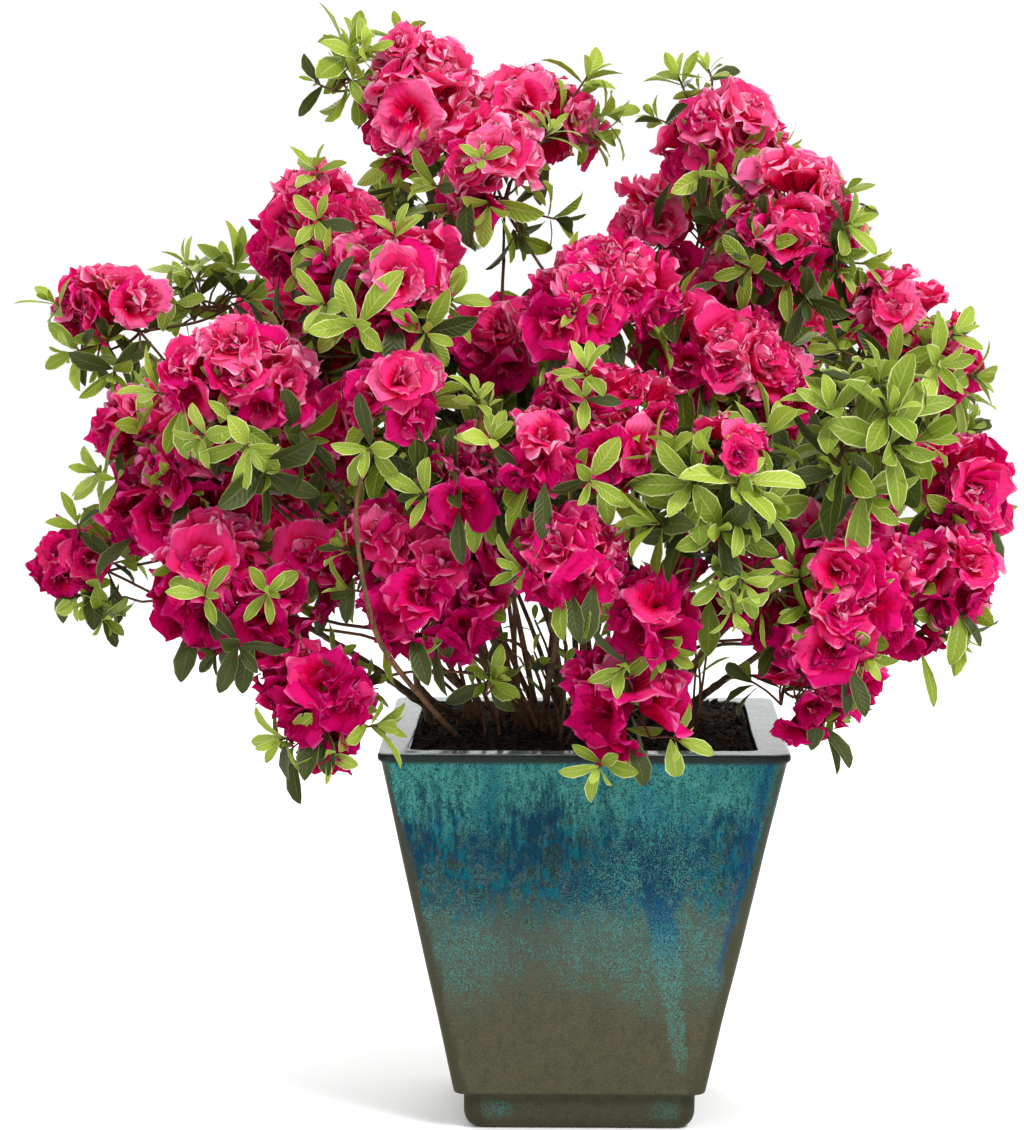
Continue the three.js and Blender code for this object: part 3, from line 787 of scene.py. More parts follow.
def build_ground(material):
    """The uneven surface, and under it a hopper down to the planter's floor."""
    line = np.linspace(-SOIL_HALF, SOIL_HALF, SOIL_STEPS + 1)
    x, y = np.meshgrid(line, line, indexing="ij")
    z = soil_height(x, y) + rng.normal(scale=0.0009, size=x.shape)
    grid = np.stack([x, y, z], axis=2)
    loop = np.concatenate([grid[:, 0], grid[-1, 1:], grid[-2::-1, -1], grid[0, -2:0:-1]])
    low = loop * [0.62, 0.62, 0] + [0, 0, SOIL_FLOOR]
    middle = low * [1e-3, 1e-3, 1]
    pile = Pile()
    pile.add(grid.reshape(-1, 3), grid_quads(SOIL_STEPS, SOIL_STEPS)[:, ::-1])
    for inner, outer in ((low, loop), (middle, low)):
        pile.add(np.concatenate([inner, outer]), grid_quads(1, len(loop), closed=True))
    piece = pile.build("soil_ground", [material])
    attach(piece, "root")
    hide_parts("soil")


CHIP_SIGNS = np.array([[-1, -1, -1], [1, -1, -1], [1, 1, -1], [-1, 1, -1],
                       [-1, -1, 1], [1, -1, 1], [1, 1, 1], [-1, 1, 1]])
CHIP_FACES = np.array([[3, 2, 1, 0], [4, 5, 6, 7], [0, 1, 5, 4], [1, 2, 6, 5], [2, 3, 7, 6], [3, 0, 4, 7]])


def add_chip(pile):
    """A flake of bark or grit: a box with its corners drawn in, each by its own amount."""
    x, y = rng.uniform(-0.97, 0.97, 2) * SOIL_HALF
    size = [rng.uniform(*span) for span in ((0.004, 0.013), (0.002, 0.006), (0.0008, 0.002))]
    at = np.array([x, y, soil_height(x, y) + rng.uniform(0, 0.0025)])
    axes = turned(basis(jitter([0, 0, 1], 0.45)), rng.uniform(0, TURN))
    corners = rng.uniform(0.6, 1, (8, 3)) * (np.array(size) / 2)
    pile.add(at + (corners * CHIP_SIGNS) @ axes, CHIP_FACES, slot=int(rng.integers(0, 2)))


def add_fibre(pile):
    start = np.array([*(rng.uniform(-0.95, 0.95, 2) * SOIL_HALF), 0])
    steps = rng.normal(scale=0.006, size=(4, 3)) + jitter([1, 0, 0], 0.9) * 0.006
    path = start + np.cumsum(steps, axis=0)
    path[:, :2] = np.clip(path[:, :2], -0.96 * SOIL_HALF, 0.96 * SOIL_HALF)
    path[:, 2] = soil_height(path[:, 0], path[:, 1]) + rng.uniform(0, 0.004, 4)
    tube(pile, smooth_path(path, 2), 0.0005, 3, slot=2)


def build_soil(material, chip_materials):
    build_ground(material)
    chips = Pile()
    for _ in range(CHIPS):
        add_chip(chips)
    for _ in range(FIBRES):
        add_fibre(chips)
    piece = chips.build("soil_chips", chip_materials, smooth=False)
    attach(piece, "root")


# ---- Limbs ----
def node_mesh(name):
    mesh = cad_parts[name].data
    points = np.empty(len(mesh.vertices) * 3)
    mesh.vertices.foreach_get("co", points)
    edges = np.empty(len(mesh.edges) * 2, dtype=np.int64)
    mesh.edges.foreach_get("vertices", edges)
    return points.reshape(-1, 3), edges.reshape(-1, 2)


def limb_axis(name, slices=9):
    """A CAD limb's middle line and radii, from slices across its length; lowest end first."""
    points, edges = node_mesh(name)
    middle = points.mean(axis=0)
    direction = np.linalg.svd(points - middle)[2][0]
    if direction[2] < 0:
        direction = -direction
    t = (points - middle) @ direction
    levels = np.linspace(t.min(), t.max(), slices + 2)[1:-1]
    path, radii = [], []
    for level in levels:
        a, b = t[edges[:, 0]], t[edges[:, 1]]
        crossing = (a - level) * (b - level) < 0
        k = ((level - a) / (b - a + 1e-12))[crossing, None]
        hit = points[edges[crossing, 0]] * (1 - k) + points[edges[crossing, 1]] * k
        centre = (hit.min(axis=0) + hit.max(axis=0)) / 2
        path.append(centre)
        radii.append(np.median(np.linalg.norm(hit - centre, axis=1)))
    return np.array(path), np.array(radii)


class Mass:
    """One CAD mass of the crown: its middle, half size and outline."""

    def __init__(self, name):
        low, high = (np.array(corner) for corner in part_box(name))
        self.name = name
        self.middle = (low + high) / 2
        self.half = (high - low) / 2
        self.blossom = name.startswith("blossom")
        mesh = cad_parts[name].data
        corners, faces = [v.co for v in mesh.vertices], [p.vertices for p in mesh.polygons]
        self.tree = BVHTree.FromPolygons(corners, faces)
        self.outward = unit(self.middle - CROWN_BASE)
        self.axis = unit(self.outward + [0, 0, 0.3])
        self.hub = self.middle - 0.45 * self.half * self.outward
        self.hub_radius = HUB_RADIUS

    def reach(self, direction):
        hit = self.tree.ray_cast(Vector(self.middle), Vector(direction))
        return hit[3] if hit[3] is not None else float(np.linalg.norm(self.half * direction))

    def holds(self, point, share):
        return float((((point - self.middle) / self.half) ** 2).sum()) < share ** 2

    def shell(self, depth, spacing):
        """Directions and points spread evenly over the mass, a given depth under its surface."""
        a, b, c = np.maximum(self.half - depth, 0.006)
        power = 1.6
        mean = (((a * b) ** power + (a * c) ** power + (b * c) ** power) / 3) ** (1 / power)
        count = max(1, round(4 * math.pi * mean / (0.866 * spacing ** 2)))
        for direction in even_directions(count) if count > 1 else [self.axis]:
            direction = jitter(direction, 0.12)
            out = max(self.reach(direction) - depth, 0.0) * (0.4 if count == 1 else 1.0)
            yield direction, self.middle + direction * out


def even_directions(count):
    """Directions spread evenly over a sphere, turned at random."""
    i = np.arange(count) + 0.5
    z = 1 - 2 * i / count
    angle = i * math.pi * (3 - math.sqrt(5)) + rng.uniform(0, TURN)
    r = np.sqrt(1 - z * z)
    points = np.column_stack([r * np.cos(angle), r * np.sin(angle), z])
    return points @ np.linalg.qr(rng.normal(size=(3, 3)))[0]


def bark_relief(angles, along):
    ridges = 0.07 * np.sin(3 * angles + 14 * math.sin(along * 31))
    ridges += 0.05 * np.sin(5 * angles - along * 90)
    knots = 0.10 * np.exp(-(((along * 26) % 1 - 0.5) / 0.12) ** 2)
    return ridges + knots


def build_limbs(masses, bark):
    """The CAD limbs with bark, carried on inside the crown; returns the masses that a stem enters."""
    pile = Pile()
    names = sorted(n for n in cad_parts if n.startswith(("stem", "bough")))
    entered = set()
    for name in names:
        path, radii = limb_axis(name)
        if name.startswith("stem"):
            foot = path[0] + (path[0] - path[1]) * 0.4
            foot[2] = SOIL_TOP - 0.02
            path, radii = np.vstack([foot, path]), np.concatenate([[radii[0] * 1.2], radii])
        radii = radii * STEM_SLIM
        tip = path[-1]
        nearest = min(masses, key=lambda m: np.linalg.norm((tip - m.middle) / m.half))
        path = np.vstack([path, nearest.hub])
        radii = np.concatenate([radii, [radii[-1] * 0.8]])
        fine = smooth_path(path, 9)
        thick = np.interp(np.linspace(0, 1, len(fine)), np.linspace(0, 1, len(radii)), radii)
        tube(pile, fine, thick, 12, relief=bark_relief)
        nearest.hub_radius = max(nearest.hub_radius, min(radii[-1] * 0.8, BRANCH_RADIUS))
        if name.startswith("stem"):
            entered.add(nearest.name)
    piece = pile.build("stems_bark", [bark])
    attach(piece, "root")
    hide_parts(*names)
    return entered


def grow_branches(masses, entered, twigs):
    """Each mass hangs from the best one already reached, starting with those a stem enters."""
    reached = [m for m in masses if m.name in entered]
    waiting = [m for m in masses if m.name not in entered]

    def cost(pair):
        child, parent = pair
        return np.linalg.norm(child.hub - parent.hub) + 0.35 * np.linalg.norm(parent.middle - CROWN_BASE)

    while waiting:
        child, parent = min(((w, r) for w in waiting for r in reached), key=cost)
        waiting.remove(child)
        reached.append(child)
        start, end = parent.hub, child.hub
        middle = (start + end) / 2 + rng.normal(scale=0.008, size=3)
        middle[2] -= 0.06 * np.linalg.norm(end - start)
        path = smooth_path([start, middle, end], 7)
        thick = parent.hub_radius * BRANCH_TAPER
        child.hub_radius = max(0.0016, min(child.hub_radius, thick))
        tube(twigs, path, np.linspace(thick, child.hub_radius, len(path)), 6, relief=bark_relief)


def grow_shoots(masses, twigs, leaves):
    """Thin shoots from the ground into the lower crown, and short leafy suckers between them."""
    targets = [m for m in masses if SOIL_TOP + 0.10 < m.hub[2] < SOIL_TOP + 0.46]
    for k in range(SHOOTS):
        target = targets[k * 7 % len(targets)]
        away = math.atan2(target.hub[1], target.hub[0]) + rng.normal(scale=0.5)
        out = rng.uniform(0.02, 0.095)
        foot = ring_point(out, away, SOIL_TOP - 0.015)
        rise = foot + 0.3 * (target.hub - foot) + [0, 0, 0.05]
        bend = foot + 0.7 * (target.hub - foot) + rng.normal(scale=0.012, size=3)
        path = smooth_path([foot, rise, bend, target.hub], 6)
        thick = rng.uniform(0.0020, 0.0040)
        tube(twigs, path, np.linspace(thick, 0.0014, len(path)), 6, relief=bark_relief)
    for _ in range(SUCKERS):
        away, out = rng.uniform(0, TURN), 0.125 * math.sqrt(rng.uniform(0.02, 1))
        foot = ring_point(out, away, SOIL_TOP - 0.01)
        lean = ring_point(0.25, away, 1.0)
        tip = foot + jitter(lean, 0.16) * rng.uniform(0.05, 0.17)
        grow_twig(twigs, foot, tip, 0.0019, 0.0011)
        leaves.whorl(tip, jitter(lean, 0.3), count_between(2, 6), rng.uniform(0.45, 0.8), 1.4)


def grow_twig(twigs, start, end, thick, thin, slot=0):
    bend = (start + end) / 2 + rng.normal(scale=0.07 * np.linalg.norm(end - start), size=3)
    path = smooth_path([start, bend, end], 2)
    tube(twigs, path, np.linspace(thick, thin, len(path)), 4, slot)


# ---- Leaves ----
LEAF_ROWS, LEAF_COLUMNS = len(LEAF_STATIONS) - 1, 4
LEAF_QUADS = grid_quads(LEAF_ROWS, LEAF_COLUMNS)[:, ::-1]


def leaf_shape(droop, fold, curl, wave):
    """A blade one unit long: base at the origin, forward along +X, upper face +Z."""
    s = np.array(LEAF_STATIONS)
    t = np.linspace(-1, 1, LEAF_COLUMNS + 1)
    bend = 0.25 * droop - droop * s ** 1.4
    x = np.concatenate([[0], np.cumsum(np.cos(bend[:-1]) * np.diff(s))])
    z = np.concatenate([[0], np.cumsum(np.sin(bend[:-1]) * np.diff(s))])
    half = 0.5 * LEAF_WIDTH * np.maximum(np.sin(math.pi * s ** 1.3) ** 0.75, 0.04)
    points = []
    for i in range(LEAF_ROWS + 1):
        for side in t:
            rise = abs(side) * fold * half[i] - curl * side * side * half[i]
            ripple = wave * half[i] * abs(side) * math.sin(6 * s[i] + 2.1 * side)
            points.append((x[i] - math.sin(bend[i]) * rise, side * half[i] * math.cos(fold * 0.6),
                           z[i] + math.cos(bend[i]) * (rise + ripple)))
    return np.array(points)


def tint_maps(stations, columns, tiles):
    """For each tint, the map of a blade's grid: its own tile across, and the stations along."""
    s = np.repeat(0.004 + 0.992 * np.asarray(stations), columns + 1)
    t = np.tile(np.linspace(0.02, 0.98, columns + 1), len(stations))
    return [np.column_stack([(tile + t) / tiles, s]) for tile in range(tiles)]


def leaf_shapes():
    """Each with a droop, fold, curl and wave of its own."""
    spans = ((0.1, 0.9), (0.15, 0.6), (0.0, 0.3), (0.05, 0.2))
    numbers = [rng.uniform(*span, LEAF_SHAPES) for span in spans]
    return [leaf_shape(*bends) for bends in zip(*numbers)]


class Leaves:
    """All the shrub's leaves."""

    def __init__(self):
        self.piles = [Pile()]
        self.shapes = leaf_shapes()
        self.uv = tint_maps(LEAF_STATIONS, LEAF_COLUMNS, len(LEAF_TINTS))

    def leaf(self, base, direction, up, length, tint):
        """One leaf from base along direction, its upper face towards up."""
        forward = unit(direction)
        side = unit(np.cross(up, forward))
        axes = np.array([forward, side, np.cross(forward, side)])
        shape = self.shapes[rng.integers(len(self.shapes))]
        size = length * np.array([1, rng.uniform(0.85, 1.2), 1])
        points = base + (shape * size) @ axes
        add_to_last(self.piles, len(LEAF_QUADS), points, LEAF_QUADS, self.uv[tint], tint)

    def whorl(self, tip, axis, count, scale, age, spreads=(88, 26)):
        """Leaves round a twig's tip: small and upright in the middle, large and spread outside."""
        axes = basis(axis)
        start = rng.uniform(0, TURN)
        for i in range(count):
            young = i / max(count - 1, 1)
            angle = start + i * 2.4 + rng.normal(scale=0.2)
            spread = math.radians(np.interp(young, [0, 1], spreads) + rng.normal(scale=10))
            outward = math.cos(angle) * axes[0] + math.sin(angle) * axes[1]
            direction = math.cos(spread) * axes[2] + math.sin(spread) * outward
            up = math.sin(spread) * axes[2] - math.cos(spread) * outward
            size = np.interp(young, [0, 0.5, 1], [1.08, 1.0, 0.55]) * rng.uniform(0.8, 1.15)
            base = tip - axes[2] * (1 - young) * 0.012
            length = LEAF_LENGTH * scale * size
            self.leaf(base, direction, jitter(up, 0.25), length, self.tint(young, age))

    def tint(self, young, age):
        shade = age + 1.1 * (1 - young) + rng.normal(scale=0.6)
        return int(np.clip(round(shade), 0, len(LEAF_TINTS) - 1))


# ---- Flowers ----
OUTER = (6, 8)  # rows and columns of an outer petal's grid
INNER = (5, 7)
CENTRE = (4, 4)


def petal_stations(rows):
    """Along a petal from its root to its tip, closer together towards the ruffled tip."""
    return 1 - (1 - np.linspace(0, 1, rows + 1)) ** 1.25


def petal(grid, length, width, lean, root, cup, frill, twist):
    """A petal of a floret that faces +Z, growing outwards along +X from its root (radius, height).

    lean is its angle from the floret's axis at the base and the tip, in degrees; cup lifts the
    margins at the base and the tip; frill is how far they wave; twist turns the tip over.
    """
    rows, columns = grid
    s = petal_stations(rows)[:, None]
    t = np.linspace(-1, 1, columns + 1)[None, :]
    angle = np.radians(lean[0] + (lean[1] - lean[0]) * s ** 0.9)
    start, step = np.zeros((1, 1)), length * np.diff(s, axis=0)
    radius = root[0] + np.vstack([start, np.cumsum(np.sin(angle[:-1]) * step, axis=0)])
    height = root[1] + np.vstack([start, np.cumsum(np.cos(angle[:-1]) * step, axis=0)])
    half = width * (0.22 + 0.78 * np.sin(np.minimum(1, s / 0.68) * math.pi / 2) ** 1.1)
    half = half * np.sqrt(1 - 0.80 * np.clip((s - 0.68) / 0.32, 0, 1) ** 2)
    phase, pace = rng.uniform(0, TURN, 5), rng.uniform(0.8, 1.2, 3)
    side_wave = np.abs(t) ** 2.2 * s ** 0.7 * np.sin(6.6 * pace[0] * s + phase[0] + np.sign(t) * phase[1])
    tip_wave = s ** 4 * np.sin(4.6 * pace[1] * t + phase[2])
    folds = 0.7 * s * np.sin(3.6 * pace[2] * t + 2.5 * s + phase[3])
    normal = frill * (side_wave + tip_wave + folds)
    normal = normal + half * t ** 2 * (cup[0] * (1 - s) + cup[1] * s) + half * t * np.sin(twist * s)
    back = length * s ** 3 * (0.17 * t ** 2 + 0.02 * np.sin(5.5 * t + phase[4]))
    x = radius - back * np.sin(angle) - normal * np.cos(angle)
    z = height - back * np.cos(angle) + normal * np.sin(angle)
    y = half * t * np.cos(twist * s)
    return np.stack([x, y, z], axis=2).reshape(-1, 3)


def spin(points, angle):
    c, s = math.cos(angle), math.sin(angle)
    return points @ np.array([[c, s, 0], [-s, c, 0], [0, 0, 1]])


def floret_shape(inner_count, centre_count, openness):
    """Outer, inner and centre petals and stamens of one floret, base at the origin, facing +Z."""
    outer, inner, centre, stamens = [], [], [], []
    for i in range(5):
        length = PETAL_LENGTH * rng.uniform(0.86, 1.12)
        shape = petal(OUTER, length, length * rng.uniform(0.42, 0.50),
                      (16, openness + rng.normal(scale=18)), (0.0012, 0.006), (0.7, -0.15),
                      0.0036 * rng.uniform(0.7, 1.3), rng.uniform(-0.4, 0.4))
        outer.append(spin(shape, i * TURN / 5 + rng.normal(scale=0.12)))
    for i in range(inner_count):
        length = PETAL_LENGTH * rng.uniform(0.68, 0.95)
        shape = petal(INNER, length, length * rng.uniform(0.38, 0.48), (6, rng.uniform(28, 84)),
                      (0.001, 0.009), (0.6, 0.0), 0.0032 * rng.uniform(0.7, 1.3), rng.uniform(-0.6, 0.6))
        inner.append(spin(shape, (i + 0.5) * TURN / max(inner_count, 4) + rng.normal(scale=0.3)))
    for i in range(centre_count):
        length = PETAL_LENGTH * rng.uniform(0.55, 0.78)
        shape = petal(CENTRE, length, PETAL_LENGTH * rng.uniform(0.20, 0.30), (0, rng.uniform(5, 45)),
                      (0.001, 0.010), (0.5, 0.2), 0.0022 * rng.uniform(0.7, 1.3), rng.uniform(-0.7, 0.7))
        centre.append(spin(shape, i * 2.4 + rng.normal(scale=0.4)))
    for i in range(3):
        angle = i * TURN / 3 + rng.normal(scale=0.5)
        side = ring_point(1, angle, 0) * rng.uniform(0.15, 0.45)
        length, rise = rng.uniform(0.022, 0.034), np.array([0, 0, 1.0])
        stamens.append([0.010 * rise, (0.010 + 0.55 * length) * rise + 0.3 * length * side,
                        (0.010 + length) * rise + length * side])
    return outer, inner, centre, stamens


BUD_ROWS, BUD_SIDES = 5, 5


def bud_shape():
    """A pointed bud one unit long, facing +Z."""
    s = np.linspace(0, 1, BUD_ROWS + 1)[:, None]
    angle = np.linspace(0, TURN, BUD_SIDES + 1)[None, :] + 1.2 * s
    radius = 0.20 * np.sin(math.pi * s ** 0.75) ** 0.8 + 0.01
    x, y, z = radius * np.cos(angle), radius * np.sin(angle), s + 0 * angle
    return np.stack([x, y, z], axis=2).reshape(-1, 3)


# Inner petals, centre petals and openness in degrees of each floret, from simple to full
FLORET_SHAPES = ((0, 1, 88), (1, 1, 100), (1, 2, 76), (2, 2, 92), (3, 2, 84), (3, 3, 98), (4, 2, 78),
                 (4, 3, 90), (4, 4, 82), (5, 3, 94), (5, 4, 80), (5, 5, 88))


class Flowers:
    """All the shrub's florets and buds."""

    def __init__(self):
        self.piles = [Pile()]
        self.stamens = Pile()
        self.shapes = [floret_shape(*numbers) for numbers in FLORET_SHAPES]
        self.bud_points = bud_shape()
        self.grids = [self.petal_grid(*grid) for grid in (OUTER, INNER, CENTRE)]
        self.bud_grid = self.petal_grid(BUD_ROWS, BUD_SIDES, flip=False)

    def petal_grid(self, rows, columns, flip=True):
        """Quads, and for each tint the map."""
        quads = grid_quads(rows, columns)
        maps = tint_maps(petal_stations(rows), columns, len(PETAL_TINTS))
        return quads[:, ::-1] if flip else quads, maps

    def sheet(self, points, grid, tint):
        tint = int(np.clip(round(tint), 0, len(PETAL_TINTS) - 1))
        add_to_last(self.piles, PETAL_ROOM, points, grid[0], grid[1][tint], tint)

    def floret(self, base, facing, scale, tint, fullness):
        """fullness from 0, a few inner petals, to 1, many."""
        last = len(self.shapes) - 1
        choice = int(np.clip(round(fullness * last + rng.normal(scale=2.0)), 0, last))
        *layers, stamens = self.shapes[choice]
        axes = turned(basis(facing), rng.uniform(0, TURN))
        for petals, grid in zip(layers, self.grids):
            for points in petals:
                self.sheet(base + (points * scale) @ axes, grid, tint + rng.normal(scale=0.6))
        for path in stamens:
            curve = base + (np.array(path) * scale) @ axes
            tube(self.stamens, curve, STAMEN_RADII, 3)

    def bud(self, base, facing, length, tint):
        self.sheet(base + (self.bud_points * length) @ basis(facing), self.bud_grid, tint)


# ---- The crown ----
def height_share(point):
    return float(np.clip((point[2] - SOIL_TOP) / (cad_box[1].z - SOIL_TOP), 0, 1))


def around(axis, angle, tilt):
    """The direction at a tilt from the axis, at an angle about it."""
    right, up, forward = basis(axis)
    return math.cos(tilt) * forward + math.sin(tilt) * (math.cos(angle) * right + math.sin(angle) * up)


class Crown:
    """The masses, and all that grows on them."""

    def __init__(self, masses):
        self.masses = masses
        self.named = {mass.name: mass for mass in masses}
        self.twigs, self.leaves, self.flowers = Pile(), Leaves(), Flowers()

    def covered(self, point, own, share):
        return any(m is not own and m.holds(point, share) for m in self.masses)

    def twig(self, start, end, thick, thin, slot=0):
        grow_twig(self.twigs, start, end, thick, thin, slot)

    def truss(self, own, node, axis, size):
        """Florets springing from one point, leafy shoots round them and old leaves hanging below."""
        height = height_share(node)
        self.florets(node, axis, size, height)
        self.side_shoots(own, node - axis * SHOOT_FOOT, axis, 1.5 - 1.6 * height)
        for _ in range(count_between(1, 4)):
            out = unit(rng.normal(size=3) * [1, 1, 0] + 0.9 * axis * [1, 1, 0])
            base = node + out * rng.uniform(0.012, 0.034) - [0, 0, 0.024]
            aim = jitter(np.array([0, 0, -1.0]) + 0.25 * out, 0.2)
            self.leaves.leaf(base, aim, jitter(out, 0.25), LEAF_LENGTH * rng.uniform(0.95, 1.3),
                             int(rng.random() < 0.75) + 2)

    def florets(self, node, axis, size, height):
        """Paler and fuller towards the crown's top and outside, and where they face the sun; the tints
        paint light and shade: pale where lit, deep low down and inside the crown.
        """
        outer = max(height, min(1.0, math.hypot(node[0] / CROWN_HALF[0], node[1] / CROWN_HALF[1])))
        # Painted light and shade: paler tints high up and on the outside, deeper ones low down and deep
        # inside the crown.
        shade = 0.2 + 2.5 * height - 1.2 * (1 - outer) + rng.normal(scale=0.25)
        for direction in even_directions(FLORETS):
            if direction @ axis < BACKWARD:
                continue
            facing = jitter(direction + 0.15 * axis, 0.22)
            base = node + facing * rng.uniform(0.0, 0.012)
            scale = size * rng.uniform(0.90, 1.17)
            fullness = np.clip(0.03 + 0.60 * height + 0.22 * facing[2], 0, 1)
            # Painted light: a floret that faces the light gets a paler tint.
            self.flowers.floret(base, facing, scale, shade + 1.4 * facing @ PAINTED_LIGHT_AIM, fullness)
            self.twig(node - axis * 0.010, base + facing * 0.006, 0.0012, 0.0011, 1)
        if rng.random() < BUD_SHARE:
            aim = jitter(axis, 0.6)
            self.flowers.bud(node + aim * 0.030, aim, rng.uniform(0.020, 0.028), shade - 1)

    def side_shoots(self, own, foot, axis, age):
        shoots, start = count_between(1, 4), rng.uniform(0, TURN)
        for k in range(shoots):
            angle = start + (k + rng.uniform(-0.25, 0.25)) * TURN / shoots
            aim = around(axis, angle, angle_between(72, 112))
            tip = foot + aim * rng.uniform(0.028, 0.042)
            if self.covered(tip + aim * 0.02, own, 0.8):
                continue
            self.twig(foot, tip, SHOOT_THICK, SHOOT_THIN)
            forward = jitter(aim + [0, 0, 0.1] - 0.2 * axis, 0.15)
            self.leaves.whorl(tip, forward, count_between(4, 7), rng.uniform(0.75, 1.0), age, (80, 24))

    def blossom(self, mass):
        """Trusses over a mass, and leafy twigs between them."""
        far = mass.middle[1] > FAR_SIDE
        for k, (direction, node) in enumerate(mass.shell(TRUSS_DEPTH, TRUSS_SPACING)):
            if direction @ mass.axis < BACKWARD or self.covered(node, mass, 0.75):
                continue
            if far and k % FAR_LEAFY_STEP == 2:
                self.leafy_gap(mass, direction, node)
                continue
            if far:
                node = node + direction * rng.uniform(-0.012, 0.010)
            self.twig(mass.hub, node - direction * 0.008, mass.hub_radius * 0.8, 0.0014)
            size = float(np.clip(mass.half.min() / TRUSS_MASS, 0.78, 1.04))
            self.truss(mass, node, unit(direction + 0.3 * mass.axis), size)
        twigs = max(1, int(TURN * mass.half.mean() / (RING_FAR if far else RING_NEAR)))
        for k in range(twigs):
            angle = (k + rng.uniform(-0.3, 0.3)) / twigs * TURN
            direction = around(mass.axis, angle, angle_between(75, 130))
            tip = mass.middle + direction * (mass.reach(direction) - 0.022)
            if self.covered(tip, mass, 0.75):
                continue
            self.twig(mass.hub, tip, mass.hub_radius * 0.7, 0.0012)
            axis = jitter(direction + 0.4 * mass.axis + [0, 0, 0.2], 0.2)
            count, size = count_between(4, 8), rng.uniform(0.85, 1.1)
            self.leaves.whorl(tip, axis, count, size, 1.4 - 1.3 * height_share(tip))

    def leafy_gap(self, mass, direction, node):
        """Leafy shoots where a truss would stand, so that a mass isn't an even ball of blossom."""
        age = 1.3 - 1.2 * height_share(node)
        fork = node + direction * 0.010
        self.twig(mass.hub, fork, mass.hub_radius * 0.8, 0.0014)
        start = rng.uniform(0, TURN)
        for k in range(3):
            aim = around(direction, start + k * 2.1, angle_between(25, 55))
            tip = fork + aim * rng.uniform(0.020, 0.034)
            self.twig(fork, tip, SHOOT_THICK, SHOOT_THIN)
            axis = jitter(aim + [0, 0, 0.2], 0.15)
            self.leaves.whorl(tip, axis, count_between(5, 8), rng.uniform(0.85, 1.05), age)

    def leafage(self, mass, depth, spacing, scale, age):
        """Leaf whorls over a leafy mass."""
        for direction, tip in mass.shell(depth, spacing):
            tip = tip - direction * rng.uniform(0, 0.012)
            if self.covered(tip, mass, 0.72):
                continue
            axis = jitter(direction + 0.3 * mass.outward + [0, 0, 0.3], 0.22)
            self.twig(mass.hub, tip, mass.hub_radius * 0.7, 0.0011)
            shade = age + 0.9 * (1 - height_share(tip)) + (0.9 if direction[2] < -0.2 else 0.0)
            self.leaves.whorl(tip, axis, count_between(7, 10), scale * rng.uniform(0.85, 1.12), shade)

    def spray(self, mass, place, whorls, scale, age):
        """A leafy shoot that stands out from a mass, with side shoots."""
        aim = unit(place / mass.half + [0, 0, 0.35])
        fork = mass.middle + place - aim * SPRAY_LENGTH * scale
        self.twig(mass.hub, fork, 0.0018, 0.0013)
        for k in range(int(whorls)):
            lean = angle_between(38, 62) if k else 0.0
            direction = jitter(around(aim, rng.uniform(0, TURN), lean), 0.08)
            end = fork + direction * (SPRAY_SIDE if k else SPRAY_LENGTH) * scale
            self.twig(fork, end, SHOOT_THICK, SHOOT_THIN)
            if k:
                self.leaves.whorl(end, direction, count_between(4, 7), scale * 0.8, age + 0.5)
            else:
                self.leaves.whorl(end, direction, count_between(6, 9), scale, age)

    def lone_truss(self, mass, place, size):
        node = mass.middle + place
        self.twig(mass.hub, node, 0.0020, 0.0014)
        self.truss(mass, node, unit(place / mass.half + 0.5 * mass.axis), size)

    def grow_mass(self, mass):
        """Trusses or leaves all over a mass; the leaves at the crown's front are larger and younger."""
        if mass.blossom:
            self.blossom(mass)
            return
        facing = max(0.0, float(mass.outward @ unit([0.1, -0.8, 0.5])))
        low = float(np.clip(0.66 + 1.6 * height_share(mass.middle), 0.7, 1))
        self.leafage(mass, 0.026, WHORL_SPACING, (1.05 + 0.2 * facing) * low, 1.2 - 0.8 * facing)
        if mass.half.min() > 0.07:
            self.leafage(mass, 0.066, WHORL_SPACING * 1.3, 1.0, 2.6)

    def placed(self, table):
        """Each entry of a table of places: its mass, its place in metres, and its other numbers."""
        for line in table.replace(",\n", ",").splitlines():
            name, _, entries = line.partition(":")
            for entry in filter(None, entries.split(",")):
                x, y, z, *numbers = (float(number) for number in entry.split())
                yield self.named[name], np.array([x, y, z]) / MM, numbers

    def grow(self, entered):
        grow_branches(self.masses, entered, self.twigs)
        grow_shoots(self.masses, self.twigs, self.leaves)
        for mass in self.masses:
            if mass.name not in PLACED_MASSES:
                self.grow_mass(mass)
        path = smooth_path([mass.middle + place for mass, place, _ in self.placed(FRONT_TWIG)], 8)
        tube(self.twigs, path, np.linspace(0.0030, 0.0018, len(path)), 7, relief=bark_relief)
        for mass, place, numbers in self.placed(SPRAYS):
            self.spray(mass, place, *numbers)
        for mass, place, numbers in self.placed(LONE_TRUSSES):
            self.lone_truss(mass, place, *numbers)


def finish_pieces(piles, name, materials, nodes=()):
    """A numbered piece of each pile; the first stands for all the nodes."""
    for i, pile in enumerate(piles):
        piece = pile.build(f"{name}_{i + 1}", materials, uv_name=UV_NAME)
        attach(piece, "root")
        if i == 0:
            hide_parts(*nodes)


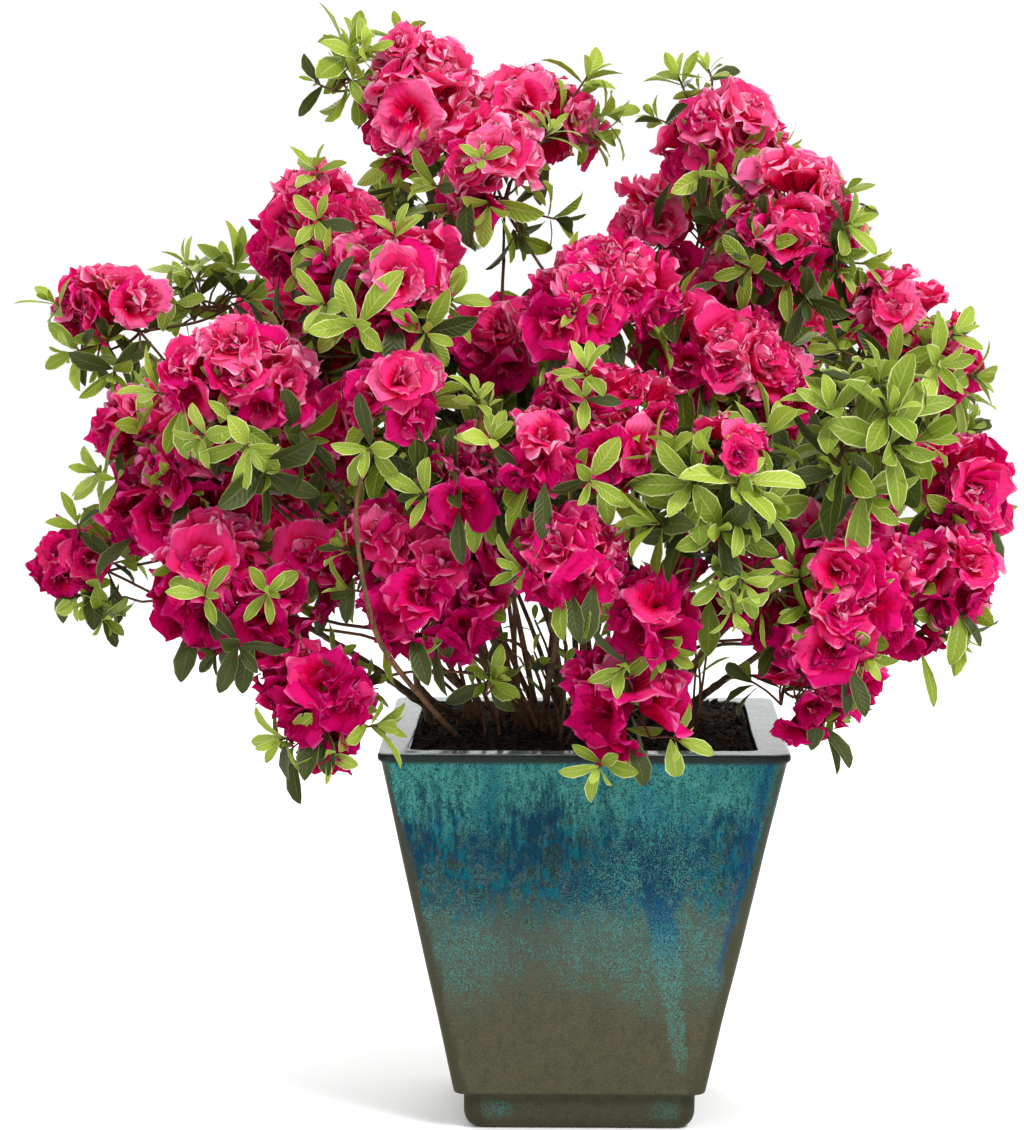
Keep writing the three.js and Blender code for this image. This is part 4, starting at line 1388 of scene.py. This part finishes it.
def build_plant():
    bark = bark_material("bark", srgb(106, 82, 60), srgb(40, 30, 23), 90)
    twig_bark = bark_material("twig_bark", srgb(118, 82, 54), srgb(50, 32, 22), 160)
    pedicel = bark_material("pedicel", srgb(118, 104, 54), srgb(84, 60, 34), 220, 0.0003)
    stamen = bark_material("stamen", srgb(150, 14, 58), srgb(92, 2, 28), 260, 0.0002)
    masses = [Mass(n) for n in sorted(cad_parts) if n.startswith(("blossom", "leaves"))]
    entered = build_limbs(masses, bark)
    crown = Crown(masses)
    crown.grow(entered)
    blossom_nodes = [m.name for m in masses if m.blossom]
    leaf_nodes = [m.name for m in masses if not m.blossom]
    petals = tint_materials(petal_material, PETAL_TINTS)
    finish_pieces(crown.flowers.piles, "blossom_petals", petals, blossom_nodes)
    finish_pieces([crown.flowers.stamens], "blossom_stamens", [stamen])
    blades = tint_materials(leaf_material, LEAF_TINTS)
    finish_pieces(crown.leaves.piles, "leaves", blades, leaf_nodes)
    finish_pieces([crown.twigs], "twigs", [twig_bark, pedicel])


# ---- Stage ----
FLOOR_HALF = 40.0
WORLD_STRENGTH = 1.05
LIGHTS_AIM = (0, 0, 0.7)
LIGHTS = [("key", (2.0, -2.8, 3.6), 1.3, 160), ("rim", (-0.8, 2.8, 3.2), 2.0, 70)]  # place, size, power
CAMERA_PLACE = (0.006, -3.861, 0.968)
CAMERA_DOWN, CAMERA_LEFT = 6.06, 1.15  # degrees below level, and to the left of straight ahead
CAMERA_LENS, CAMERA_SENSOR = 121.4, 36  # mm


def build_floor():
    corners = [[-1, -1, 0], [1, -1, 0], [1, 1, 0], [-1, 1, 0]]
    pile = Pile()
    pile.add(FLOOR_HALF * np.array(corners), np.array([[0, 1, 2, 3]]))
    pale = Shader("stage_pale")
    surface = pale.node("BsdfPrincipled", {"Base Color": (0.97, 0.97, 0.97, 1), "Roughness": 1.0})
    floor = pile.build("stage_floor", [pale.done(surface.outputs[0])], smooth=False)
    floor.location.z = PLANTER_LOW.z


def build_lights():
    world = bpy.data.worlds.new("studio")
    world.use_nodes = True
    background = world.node_tree.nodes["Background"]
    background.inputs[0].default_value = (1, 1, 1, 1)
    background.inputs[1].default_value = WORLD_STRENGTH
    bpy.context.scene.world = world
    for name, place, size, power in LIGHTS:
        light = bpy.data.lights.new(name, "AREA")
        light.shape = "SQUARE"
        light.size = size
        light.energy = power
        lamp = new_object(name, light)
        lamp.location = place
        lamp.rotation_mode = "QUATERNION"
        lamp.rotation_quaternion = (Vector(LIGHTS_AIM) - Vector(place)).to_track_quat("-Z", "Y")


def build_camera():
    camera = bpy.data.cameras.new("camera")
    camera.lens = CAMERA_LENS
    camera.sensor_width = CAMERA_SENSOR
    camera.clip_end = 100
    eye = new_object("camera", camera)
    eye.location = CAMERA_PLACE
    eye.rotation_mode = "XYZ"
    eye.rotation_euler = (math.radians(90 - CAMERA_DOWN), 0, math.radians(CAMERA_LEFT))
    bpy.context.scene.camera = eye


build_camera()
build_floor()
build_lights()
build_planter(glaze_material(), rim_material())
build_soil(bark_material("soil", srgb(36, 26, 20), srgb(12, 9, 8), 260),
           [bark_material("soil_chip", srgb(58, 40, 28), srgb(20, 14, 11), 300),
            bark_material("soil_chip_dark", srgb(34, 25, 20), srgb(11, 9, 8), 300),
            bark_material("soil_fibre", srgb(104, 80, 54), srgb(54, 40, 28), 400)])
build_plant()
bpy.context.scene.view_settings.view_transform = "Standard"
